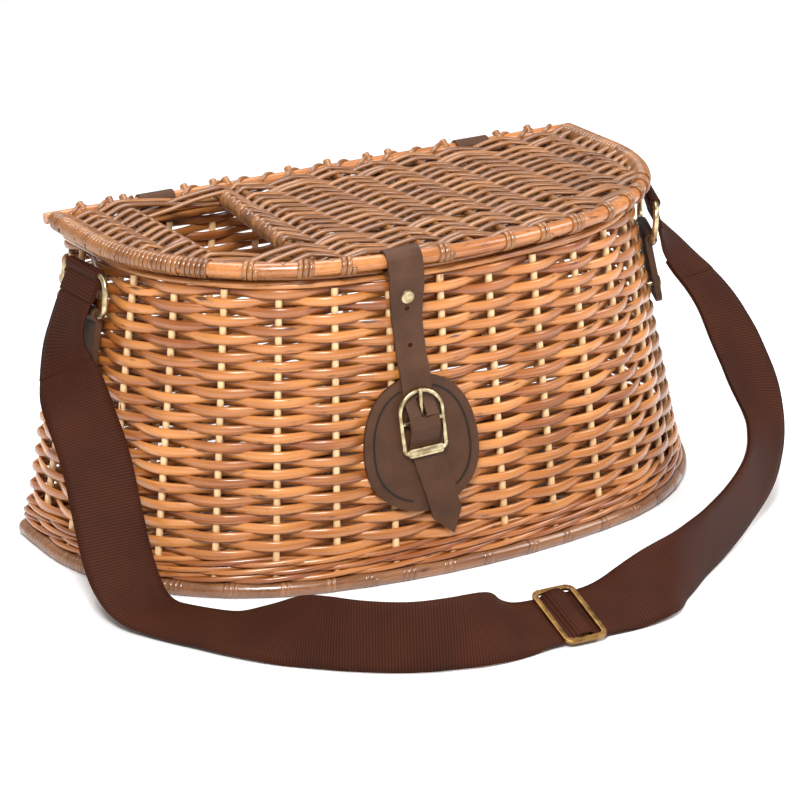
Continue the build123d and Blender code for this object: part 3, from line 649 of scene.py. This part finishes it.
# Three-rod wale: each strand swings out and in over three stakes while it rises and falls. It goes out by a
# cosine and up by a sine of the same turn.
def weaveWale():
    rods = Rods()
    spots = spotsRound(wale["samples"])
    for number in range(wale["rounds"]):
        for strand in range(wale["strands"]):
            turns = spots / wale["turnStakes"] + strand / wale["strands"] + number * wale["roundShift"]
            phase = 2 * math.pi * turns
            level = form["wallFoot"] - (wale["rounds"] - number - 0.5) * wale["roundHeight"]
            level = level + wale["lift"] * np.sin(phase)
            middle, out = wallLine(spots, level)
            middle = middle + out * (wale["sway"] * np.cos(phase))[:, None]
            tone = chance.uniform(*wale["tones"]) + drift(spots, wale["toneDrift"])
            rods.add(middle, out, wale["half"], wale["height"], True, tone)
    rods.make("waleRods", "basket", weaver, "bottom_wale")


# Two pairs of twisted rods lie side by side, and a single rod lies on top of them.
border = {
    "layers": (
        {"lift": 0.0004, "inset": -0.0022, "strands": 2, "size": 0.78},
        {"lift": 0.0004, "inset": 0.0022, "strands": 2, "size": 0.78},
        {"lift": 0.0037, "inset": 0.0, "strands": 1, "size": 0.95},
    ),
    "radius": 0.0022,
    "samples": 10,
    "sway": 0.0008,
    "swayUp": 0.7,
    "turnStakes": 6,
    "highest": 1.06,
    "tone": 0.6,
    "toneSpread": 0.12,
    "layerTone": 5,
    "strandTone": 3,
    "toneDrift": (0.15, 9),
}


# The border: rods that lie side by side and wander a little over one another, out by a cosine and up by a
# sine of the same turn.
def layBorder():
    rods = Rods()
    spots = spotsRound(border["samples"])
    layers = border["layers"]
    for number, layer in enumerate(layers):
        for strand in range(layer["strands"]):
            turns = spots / border["turnStakes"] + number / len(layers) + strand / 2
            phase = 2 * math.pi * turns
            level = form["wallTop"] + border["radius"] + layer["lift"]
            level = level + border["sway"] * border["swayUp"] * np.sin(phase)
            middle, out = wallLine(spots, np.minimum(level, form["wallTop"] * border["highest"]))
            middle = middle + out * (border["sway"] * np.cos(phase) - layer["inset"])[:, None]
            size = border["radius"] * layer["size"]
            turnOfTone = number * border["layerTone"] + strand * border["strandTone"]
            tone = border["tone"] + border["toneSpread"] * math.sin(turnOfTone)
            tone = tone + drift(spots, border["toneDrift"])
            rods.add(middle, out, size, size, True, tone)
    rods.make("borderRods", "basket", weaver, "border_rods")


weaveWale()
layBorder()

# Shares are of the frame rod's line, from one end of the D's front line to the other.
wraps = {
    "half": 0.0009,
    "pitch": 0.0031,
    "flatness": 0.5,
    "samples": 14,
    "aheadStep": 0.0005,
    "seat": 0.75,  # of its half thickness, from the surface it is wound on to its middle
    "toneDrift": (0.1, 0.03),
    "turns": 2.5,
    "turnSpread": (0.85, 1.15),
    "rodTurns": (4, 9),
    "first": 0.004,
    "overrun": 0.004,
}
lidWraps = {
    "backInset": 0.0037,
    "radius": 0.00425,
    "ends": (0.24, 0.79),
    "shares": (0.28, 0.33, 0.37, 0.42, 0.465, 0.535, 0.575, 0.615, 0.665, 0.705, 0.735, 0.765),
    "tones": (0.42, 0.7),
}
baseWraps = {
    "backInset": 0.012,
    "radius": 0.0033,
    "ends": (0.22, 0.78),
    "shares": (0.26, 0.31, 0.35, 0.385, 0.42, 0.46, 0.5, 0.545, 0.585, 0.63, 0.67, 0.71, 0.75),
    "tones": (0.3, 0.6),
}
backRod = {
    "radius": 0.0035,
    "stretches": ((-0.167, -0.122), (-0.094, 0.094), (0.122, 0.167)),  # clear of the leather hinges
    "margin": 0.001,
    "pitch": 0.034,
    "half": 0.001,
    "flatness": 0.04,
    "tone": 0.5,
    "knobs": (-0.155, -0.137, -0.128, -0.088, -0.069, -0.06, -0.018, 0.008, 0.036, 0.05, 0.09, 0.128, 0.15),
    "knobY": 0.098,
    "knobLift": 0.001,
    "knobReach": (0.004, 0.005, 0.0038),
    "knobLean": 0.25,
    "knobRadius": 0.0025,
    "knobSamples": 6,
    "knobTones": (0.4, 0.8),
}


# A thin rod wound round a thicker one: a helix about a stretch of the thicker rod's line. Its kind gives
# its pitch and section.
def winding(rods, line, level, radius, start, length, tone, kind, phase=0.0):
    half = kind["half"]
    turns = length / kind["pitch"]
    share = np.linspace(0, 1, int(wraps["samples"] * max(turns, 1.0)) + 1)
    along = start + share * length
    ahead = unit(pointsAt(line, along + wraps["aheadStep"]) - pointsAt(line, along - wraps["aheadStep"]))
    turn = 2 * math.pi * turns * share + phase
    side = np.stack([ahead[:, 1], -ahead[:, 0], np.zeros(len(share))], 1)
    out = np.cos(turn)[:, None] * side + np.sin(turn)[:, None] * np.array([0, 0, 1])
    middle = np.column_stack([pointsAt(line, along), np.full(len(share), level)])
    points = middle + out * (radius + half * wraps["seat"])
    points[:, 2] = np.maximum(points[:, 2], half)  # pressed flat where the base stands on the ground
    height = kind["pitch"] * kind["flatness"]
    rods.add(points, out, half, height, False, tone + drift(along, wraps["toneDrift"]))


# Close turns at both ends of a frame rod, and a few turns here and there along its front.
def wrapFrame(rods, line, level, values):
    whole = lengthAlong(line)[-1]
    pitch = wraps["pitch"]
    leftEnd, rightStart = values["ends"]
    closeTurns = ((wraps["first"], leftEnd * whole), (rightStart * whole, whole - wraps["first"]))
    for start, finish in closeTurns:
        reached = start
        while reached < finish:  # a new rod takes over every few turns
            length = min(chance.uniform(*wraps["rodTurns"]) * pitch, finish + wraps["overrun"] - reached)
            tone = chance.uniform(*values["tones"])
            winding(rods, line, level, values["radius"], reached, length, tone, wraps)
            reached += length
    for share in values["shares"]:
        length = wraps["turns"] * pitch * chance.uniform(*wraps["turnSpread"])
        tone = chance.uniform(*values["tones"])
        winding(rods, line, level, values["radius"], share * whole, length, tone, wraps, math.pi)


# The back rod has two rods twisted about it, and the cut ends of the lid's stakes stand up behind it.
def dressBack(rods):
    back = form["lid"]["back"]
    margin = backRod["margin"]
    for start, finish in backRod["stretches"]:
        line = np.array([[start, back], [finish, back]])
        for phase in (0, math.pi):
            winding(rods, line, lidLevel, backRod["radius"], margin, finish - start - 2 * margin,
                    backRod["tone"], backRod, phase)
    samples = backRod["knobSamples"]
    leanReach, reachY, reachZ = backRod["knobReach"]
    for x in backRod["knobs"]:
        lean = chance.uniform(-backRod["knobLean"], backRod["knobLean"])
        foot = np.array([x, backRod["knobY"], lidLevel + backRod["knobLift"]])
        points = foot + np.linspace(0, 1, samples)[:, None] * np.array([lean * leanReach, reachY, reachZ])
        out = np.tile([1.0, 0, 0], (samples, 1))
        tone = chance.uniform(*backRod["knobTones"])
        rods.add(points, out, backRod["knobRadius"], backRod["knobRadius"], False, tone)


def wrapFrames():
    rods = Rods()
    wrapFrame(rods, frontLine(form["lid"], 0, lidWraps["backInset"]), lidLevel, lidWraps)
    dressBack(rods)
    rods.make("lidBindings", "lid", lidWeaver)
    rods = Rods()
    wrapFrame(rods, frontLine(form["base"], footInset, baseWraps["backInset"]), footLevel, baseWraps)
    rods.make("baseBindings", "basket", footWeaver)


wrapFrames()
print("frames bound")


# A clearance is how far the middle of a woven rod passes over or under a stake or frame rod.
lid = {
    "rowPitch": 0.005,
    "backGap": 0.0058,
    "frontGap": 0.0062,
    "half": 0.0013,
    "height": 0.00255,
    "stakes": (-0.155, -0.057, -0.02, 0.006, 0.034, 0.062, 0.09, 0.126, 0.152),
    "stakeGap": 0.012,
    "clearance": 0.0027,
    "rodClearance": 0.0034,
    "slotClearance": 0.0043,
    "slotLeft": -0.135,
    "slotBack": (-0.069, 0.096),
    "slotFront": (-0.09, -0.08),
    "slotRows": (-0.03, 0.078),
    "rodTurn": 0.3,
    "slotTurn": 3.0,
    "sway": (0.0009, 0.11),
    "spread": 0.0007,
    "tones": (0.32, 0.68),
    "toneDrift": (0.12, 0.16),
    "thickness": (0.9, 1.08),
}
base = {
    "rowPitch": 0.006,
    "backGap": 0.012,
    "frontGap": 0.006,
    "half": 0.0012,
    "height": 0.0025,
    "sides": 6,
    "stakeCount": 12,
    "stakeGap": 0.01,
    "clearance": 0.0022,
    "rodClearance": 0.0005,
    "sway": (0.0005, 0.13),
    "tones": (0.35, 0.6),
    "toneDrift": (0.1, 0.2),
}
rowDetail = 9  # samples from one stop of a row to the next, and in a turn at its end
easing = 0.45  # the share of a row's rise that follows a half cosine


# Where a D's left side stands at a given Y.
def sideAt(line, y):
    half = line[: len(line) // 2 + 1]
    return np.interp(-y, -half[:, 1], half[:, 0])


# Where each row lies, from the back to the front.
def rowPlaces(line, back, values):
    backY = back - values["backGap"]
    frontY = line[:, 1].min() + values["frontGap"]
    rows = int((backY - frontY) / values["rowPitch"])
    return [backY - row * (backY - frontY) / (rows - 1) for row in range(rows)]


# One row across a panel. At each stop, an (x, clearance), it passes over or under by turns, easing between
# by half a cosine, and at each end it turns round the rod there by the wanted angle.
def rowPath(stops, row, y, level, wantedTurns):
    xs = np.array([stop[0] for stop in stops])
    signs = np.where((np.arange(len(stops)) + row) % 2 == 0, 1.0, -1.0)
    heights = np.array([stop[1] for stop in stops]) * signs
    share = np.linspace(0, len(stops) - 1, (len(stops) - 1) * rowDetail + 1)
    number = np.minimum(share.astype(int), len(stops) - 2)
    part = share - number
    eased = (1 - easing) * part + easing * (1 - np.cos(math.pi * part)) / 2
    x = xs[number] + (xs[number + 1] - xs[number]) * part
    z = heights[number] + (heights[number + 1] - heights[number]) * eased
    points = np.stack([x, z], 1)
    for end, wanted in zip((0, -1), wantedTurns):
        if not wanted:
            continue
        away = -1 if end == 0 else 1
        turn = np.linspace(0, wanted, rowDetail)[1:]
        radius = abs(heights[end])
        loop = np.stack([xs[end] + away * radius * np.sin(turn), heights[end] * np.cos(turn)], 1)
        points = np.concatenate([loop[::-1], points] if end == 0 else [points, loop])
    ahead = headings(points)
    out = np.stack([-ahead[:, 1], np.zeros(len(points)), ahead[:, 0]], 1)
    return np.stack([points[:, 0], np.full(len(points), y), points[:, 1] + level], 1), out


# A row's stops and turns, in one run across the lid or in two runs that turn back at the fish slot.
def lidRuns(y, left):
    inner = abs(left) - lid["stakeGap"]
    slotLeft = lid["slotLeft"]
    slotXs, slotYs = zip(lid["slotFront"], lid["slotBack"])
    slotRight = np.interp(y, slotYs, slotXs)
    stakes = [(x, lid["clearance"]) for x in lid["stakes"] if abs(x) < inner]
    leftStops = [(left, lid["rodClearance"])] + [stake for stake in stakes if stake[0] < slotLeft]
    rightStops = [stake for stake in stakes if stake[0] > slotLeft] + [(-left, lid["rodClearance"])]
    if abs(slotLeft) < inner:
        leftStops.append((slotLeft, lid["slotClearance"]))
    firstRow, lastRow = lid["slotRows"]
    if firstRow < y < lastRow:
        rightStops.insert(0, (slotRight, lid["slotClearance"]))
        turnBack = (lid["rodTurn"], lid["slotTurn"])
        return [(leftStops, turnBack), (rightStops, turnBack[::-1])]
    if slotRight >= -inner:
        rightStops.insert(0, (slotRight, lid["slotClearance"]))
    return [(leftStops + rightStops, (lid["rodTurn"], lid["rodTurn"]))]


def weaveLid():
    rods = Rods()
    line = frontLine(form["lid"], 0, 0)
    for row, y in enumerate(rowPlaces(line, form["lid"]["back"], lid)):
        for stops, turns in lidRuns(y, sideAt(line, y)):
            if len(stops) < 2:  # the slot's left edge has met the frame rod
                continue
            points, out = rowPath(stops, row, y, lidLevel, turns)
            sway = drift(points[:, 0], lid["sway"]) + lid["spread"] * np.sign(points[:, 2] - lidLevel)
            points[:, 1] += sway
            tone = chance.uniform(*lid["tones"]) + drift(points[:, 0], lid["toneDrift"])
            thick = chance.uniform(*lid["thickness"])
            rods.add(points, out, lid["half"] * thick, lid["height"] * thick, False, tone)
    rods.make("lidWeave", "lid", lidWeaver, "lid_panel")


def weaveBase():
    rods = Rods(base["sides"])
    line = frontLine(form["base"], footInset, 0)
    count = base["stakeCount"]
    stakeXs = (np.arange(count) - (count - 1) / 2) * (2 * form["base"]["halfWidth"] / (count + 1))
    for row, y in enumerate(rowPlaces(line, form["base"]["back"], base)):
        left = sideAt(line, y) + footInset
        stakes = [(x, base["clearance"]) for x in stakeXs if abs(x) < abs(left) - base["stakeGap"]]
        stops = [(left, base["rodClearance"])] + stakes + [(-left, base["rodClearance"])]
        points, out = rowPath(stops, row, y, footLevel, (0, 0))
        points[:, 1] += drift(points[:, 0], base["sway"])
        tone = chance.uniform(*base["tones"]) + drift(points[:, 0], base["toneDrift"])
        rods.add(points, out, base["half"], base["height"], False, tone)
    rods.make("baseWeave", "basket", weaver, "base_panel")


weaveLid()
weaveBase()
paint(["lid_stakes", "slot_stakes", "base_stakes"], slats)
paint(["lid_front_rod", "lid_back_rod"], frameRod)
paint(["base_frame_rod"], footRod)
print("lid and base woven")


# Leather and brass are merged copies of the CAD shapes, with softened edges.
dressing = {
    "leather": {
        "material": leather,
        "soften": 0.0005,
        "pieces": {
            "buckle_patch": "patchLeather",
            "closure_strap": "closureLeather",
            "buckle_loop": "buckleLugs",
            "hinge_strap_left": "hingeLeatherLeft",
            "hinge_strap_right": "hingeLeatherRight",
            "ring_tab_left": "tabLeatherLeft",
            "ring_tab_right": "tabLeatherRight",
        },
    },
    "brass": {
        "material": brass,
        "soften": 0.0002,
        "pieces": {
            "buckle_frame": "buckleBrass",
            "buckle_prong": "prongBrass",
            "ring_left": "ringBrassLeft",
            "ring_right": "ringBrassRight",
            "closure_rivet": "closureRivetBrass",
            "hinge_rivets": "hingeRivetsBrass",
            "tab_rivets": "tabRivetsBrass",
        },
    },
    "thread": {"material": thread, "soften": 0.0001, "pieces": {"patch_stitches": "patchThread"}},
    "bronze": {"material": bronze, "soften": 0.0003, "pieces": {"strap_slide": "slideBronze"}},
    "webbing": {
        "material": webbing,
        "soften": 0.0003,
        "pieces": {"strap_end_left": "strapEndLeft", "strap_end_right": "strapEndRight"},
    },
}
softenSegments = 2
softenAngle = 40
mergeDigits = 6


# A CAD node's shape with shared corners, and a bevel on its edges.
def dress(nodeName, name, values):
    source = nodes[nodeName]
    corners = np.empty(len(source.data.vertices) * 3, np.float32)
    source.data.vertices.foreach_get("co", corners)
    corners = np.round(corners.reshape(-1, 3), mergeDigits)
    merged, index = np.unique(corners, axis=0, return_inverse=True)
    loops = np.empty(len(source.data.loops), np.int32)
    source.data.loops.foreach_get("vertex_index", loops)
    faces = index.ravel()[loops].reshape(-1, 3)
    whole = (faces[:, 0] != faces[:, 1]) & (faces[:, 1] != faces[:, 2]) & (faces[:, 0] != faces[:, 2])
    faces = faces[whole]
    mesh = meshFrom(name, merged, faces.ravel(), np.full(len(faces), 3))
    setAttribute(mesh, "grain", "FLOAT_VECTOR", "vector", merged[:, [2, 0, 1]])
    piece = place(name, mesh, source["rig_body"], values["material"])
    bevel = piece.modifiers.new("softened", "BEVEL")
    bevel.width = values["soften"]
    bevel.segments = softenSegments
    bevel.limit_method = "ANGLE"
    bevel.angle_limit = math.radians(softenAngle)
    bevel.harden_normals = True
    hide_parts(nodeName)
    return piece


for slot, values in dressing.items():
    for nodeName, name in values["pieces"].items():
        dress(nodeName, name, values)
print("leather and brass dressed")


strap = {
    "width": 0.04,
    "half": 0.0008,
    "length": 0.8796,
    "samples": 520,
    "evenings": 12,
    "slideAt": (-0.00728, -0.2076, 0.0096),
    "slideLift": 0.0045,
    "climb": (0.0027, 0.009),
    "leadLength": 0.045,  # of the doubled stretch at each ring
    "leadHidden": 0.024,  # of the strap's own end, which that stretch covers
    "leadWidth": 1.01,
    "leadHalf": 0.00125,
    "returnFrom": 0.004,  # past the slide's bar, where the second layer starts
    "returnSettle": 0.03,
    "returnGap": 0.0019,
    "returnWidth": 0.985,
    "returnHalf": 0.9,
    "rimPoints": 9,
    "rimShare": 0.55,  # of the thickness at the two edges
}
# A point of the webbing's middle and the way from its lower edge up. It is part.py's route in metres, except
# that the last but one point turns the webbing a little more to the camera.
strapRoute = [
    ((-0.185668, 0.044249, 0.159887), (0.028, -0.999, 0.031)),
    ((-0.194385, 0.043511, 0.144156), (0.028, -0.999, 0.031)),
    ((-0.199, 0.037, 0.122), (0.35, -0.93, 0)),
    ((-0.201, 0.013, 0.101), (0.85, -0.5, -0.05)),
    ((-0.201, -0.008, 0.08), (0.89, -0.45, -0.05)),
    ((-0.204, -0.027, 0.052), (0.91, -0.41, -0.08)),
    ((-0.206, -0.046, 0.023), (0.94, -0.3, -0.1)),
    ((-0.203, -0.066, 0.006), (0.97, 0.15, 0)),
    ((-0.191, -0.088, 0.0045), (0.88, 0.46, 0.1)),
    ((-0.177, -0.114, 0.006), (0.87, 0.45, 0.15)),
    ((-0.163, -0.141, 0.012), (0.75, 0.3, 0.5)),
    ((-0.149, -0.169, 0.019), (0.4, 0.15, 0.9)),
    ((-0.132, -0.195, 0.021), (0.1, 0.1, 1)),
    ((-0.108, -0.213, 0.021), (0, 0.1, 1)),
    ((-0.082, -0.22, 0.021), (0.05, 0.2, 1)),
    ((-0.057, -0.217, 0.018), (0.1, 0.6, 0.8)),
    ((-0.032, -0.206, 0.0084), (-0.1, 0.95, 0.29)),
    ((0.017, -0.2085, 0.0086), (-0.1, 0.95, 0.29)),
    ((0.042, -0.213, 0.0175), (-0.2, 0.7, 0.65)),
    ((0.067, -0.205, 0.021), (-0.1, 0.15, 1)),
    ((0.097, -0.184, 0.021), (0, 0, 1)),
    ((0.129, -0.161, 0.022), (0, 0, 1)),
    ((0.159, -0.1375, 0.026), (-0.2, -0.1, 0.95)),
    ((0.184, -0.115, 0.034), (-0.75, -0.4, 0.55)),
    ((0.198, -0.097, 0.049), (-0.87, -0.45, 0.2)),
    ((0.202, -0.078, 0.07), (-0.96, -0.3, 0)),
    ((0.2, -0.059, 0.095), (-0.97, -0.3, 0)),
    ((0.197, -0.04, 0.118), (-0.85, -0.5, 0)),
    ((0.184, -0.0125, 0.1414), (-0.7, -0.7, 0)),
    ((0.176012, -0.008276, 0.158632), (-0.389, -0.921, -0.008)),
]


# The smooth line of the strap: a NURBS spline with the route's points as its control points.
def strapLine():
    curve = bpy.data.curves.new("strapLine", "CURVE")
    curve.dimensions = "3D"
    curve.resolution_u = 24
    spline = curve.splines.new("NURBS")
    spline.points.add(len(strapRoute) - 1)
    for point, (where, across) in zip(spline.points, strapRoute):
        point.co = (*where, 1)
    spline.order_u = 3
    spline.use_endpoint_u = True
    holder = bpy.data.objects.new("strapLine", curve)
    bpy.context.scene.collection.objects.link(holder)
    bpy.context.view_layer.update()
    flat = bpy.data.meshes.new_from_object(holder)
    rough = np.array([corner.co for corner in flat.vertices], float)
    bpy.data.objects.remove(holder)
    bpy.data.curves.remove(curve)
    return pointsAt(rough, np.linspace(0, lengthAlong(rough)[-1], strap["samples"]))


# The webbing's way across at each point of its line, evened out between the route's points.
def strapAcross(along):
    reached = lengthAlong(np.array([where for where, across in strapRoute]))
    routeAcross = unit(np.array([across for where, across in strapRoute], float))
    across = blendRows(along / along[-1] * reached[-1], reached, routeAcross)
    for repeat in range(strap["evenings"]):
        across[1:-1] = (across[:-2] + across[1:-1] + across[2:]) / 3
    return across


# A flat band of webbing: across runs from edge to edge, and behind sets it back along its own face. A corner
# is at line + side * width / 2 * across + (lift * half - behind) * (ahead x across), and thinner at the rim.
def band(name, line, across, width, half, behind, body):
    ahead = headings(line)
    across = squareTo(ahead, across)
    face = np.cross(ahead, across)
    edge = strap["rimPoints"]
    side = np.concatenate([np.linspace(-1, 1, edge), np.linspace(1, -1, edge)])
    lift = np.repeat([1.0, -1.0], edge)
    lift[[0, edge - 1, edge, -1]] *= strap["rimShare"]
    rim = side[None, :, None] * width / 2 * across[:, None, :]
    skin = (lift[None, :, None] * half - np.reshape(behind, (-1, 1, 1))) * face[:, None, :]
    corners = (line[:, None, :] + rim + skin).reshape(-1, 3)
    count = len(side)
    quads = ringFaces(len(line), count, False)[:, [0, 3, 2, 1]]
    last = (len(line) - 1) * count
    loops = np.concatenate([quads.ravel(), np.arange(count)[::-1], last + np.arange(count)])
    mesh = meshFrom(name, corners, loops, np.concatenate([np.full(len(quads), 4), [count, count]]))
    along = np.repeat(lengthAlong(line), count)
    offset = np.tile(side, len(line)) * width / 2
    places = np.column_stack([along, offset, np.zeros(len(along))])
    setAttribute(mesh, "grain", "FLOAT_VECTOR", "vector", places)
    return place(name, mesh, body, webbing)


def makeStrap():
    line = strapLine()
    along = lengthAlong(line)
    across = strapAcross(along)
    width = strap["width"]
    slideAt = along[np.argmin(np.linalg.norm(line - np.array(strap["slideAt"]), axis=1))]
    low, high = strap["climb"]
    climbed = np.clip((high - np.abs(along - slideAt)) / (high - low), 0, 1)
    lift = strap["slideLift"] * climbed**2 * (3 - 2 * climbed)
    hidden = int(np.searchsorted(along, strap["leadHidden"]))
    middle = slice(hidden, len(line) - hidden)
    ribbon = band("shoulderStrap", line[middle], across[middle], width, strap["half"], -lift[middle],
                  "basket")
    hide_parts("shoulder_strap")
    lead = int(np.searchsorted(along, strap["leadLength"]))
    for side, stretch in (("Left", slice(0, lead)), ("Right", slice(-1, -lead, -1))):
        ends = line[stretch]
        piece = band("strapLead" + side, ends, across[stretch], width * strap["leadWidth"],
                     strap["leadHalf"], 0.0, None)
        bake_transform(piece)
    start = int(np.argmin(np.abs(along - slideAt - strap["returnFrom"])))
    rest = slice(start, len(line) - hidden)
    settle = np.clip((along[rest] - slideAt) / strap["returnSettle"], 0, 1)
    second = band("strapReturn", line[rest], across[rest], width * strap["returnWidth"],
                  strap["half"] * strap["returnHalf"], strap["returnGap"] * settle, "basket")


makeStrap()
print("strap made")


studio = {
    "focal": 157.0,
    "sensor": 36,
    "target": (-0.0169, -0.0327, 0.0864),
    "azimuth": -27.66,
    "elevation": 19.35,
    "distance": 2.0486,
    "roll": -1.85,
    "floorSize": 14,
    "floorColour": (0.93, 0.93, 0.93, 1),
    "floorRoughness": 0.75,
    "worldColour": (1, 1, 1, 1),
    "worldStrength": 0.46,
    "lampTarget": (0, 0, 0.09),
    "lamps": (
        {"where": (-0.9, -1.5, 1.7), "size": 0.6, "energy": 62},
        {"where": (1.4, -1.1, 1.3), "size": 0.9, "energy": 22},
        {"where": (0.1, 0.5, 1.9), "size": 1.2, "energy": 24},
    ),
}


def layFloor():
    bpy.ops.mesh.primitive_plane_add(size=studio["floorSize"])
    floor = bpy.context.object
    floor.name = "studioFloor"
    material, tree, shader = newMaterial("paleFloor")
    tree.feed(shader, {"Base Color": studio["floorColour"], "Roughness": studio["floorRoughness"]})
    floor.data.materials.append(material)


def lightScene(scene):
    world = bpy.data.worlds.new("studioWorld")
    scene.world = world
    world.use_nodes = True
    background = world.node_tree.nodes["Background"]
    background.inputs["Color"].default_value = studio["worldColour"]
    background.inputs["Strength"].default_value = studio["worldStrength"]
    for number, values in enumerate(studio["lamps"]):
        data = bpy.data.lights.new("softLight%d" % number, "AREA")
        data.size = values["size"]
        data.energy = values["energy"]
        lamp = bpy.data.objects.new(data.name, data)
        lamp.location = values["where"]
        aim = Vector(studio["lampTarget"]) - Vector(values["where"])
        lamp.rotation_euler = aim.to_track_quat("-Z", "Y").to_euler()
        scene.collection.objects.link(lamp)


# The camera fitted to the photograph: back is from the target to the camera.
def addCamera(scene):
    camera = bpy.data.objects.new("camera", bpy.data.cameras.new("camera"))
    scene.collection.objects.link(camera)
    camera.data.lens = studio["focal"]
    camera.data.sensor_width = studio["sensor"]
    azimuth = math.radians(studio["azimuth"])
    elevation = math.radians(studio["elevation"])
    roll = math.radians(studio["roll"])
    level = math.cos(elevation)
    back = Vector((math.sin(azimuth) * level, -math.cos(azimuth) * level, math.sin(elevation)))
    levelRight = (-back).cross(Vector((0, 0, 1))).normalized()
    levelUp = levelRight.cross(-back)
    right = math.cos(roll) * levelRight + math.sin(roll) * levelUp
    up = -math.sin(roll) * levelRight + math.cos(roll) * levelUp
    turn = Matrix((right, up, back)).transposed().to_4x4()
    camera.matrix_world = Matrix.Translation(Vector(studio["target"]) + back * studio["distance"]) @ turn
    scene.camera = camera


def buildStudio():
    scene = bpy.context.scene
    layFloor()
    lightScene(scene)
    addCamera(scene)
    scene.view_settings.view_transform = "Standard"
    scene.render.engine = "CYCLES"


buildStudio()
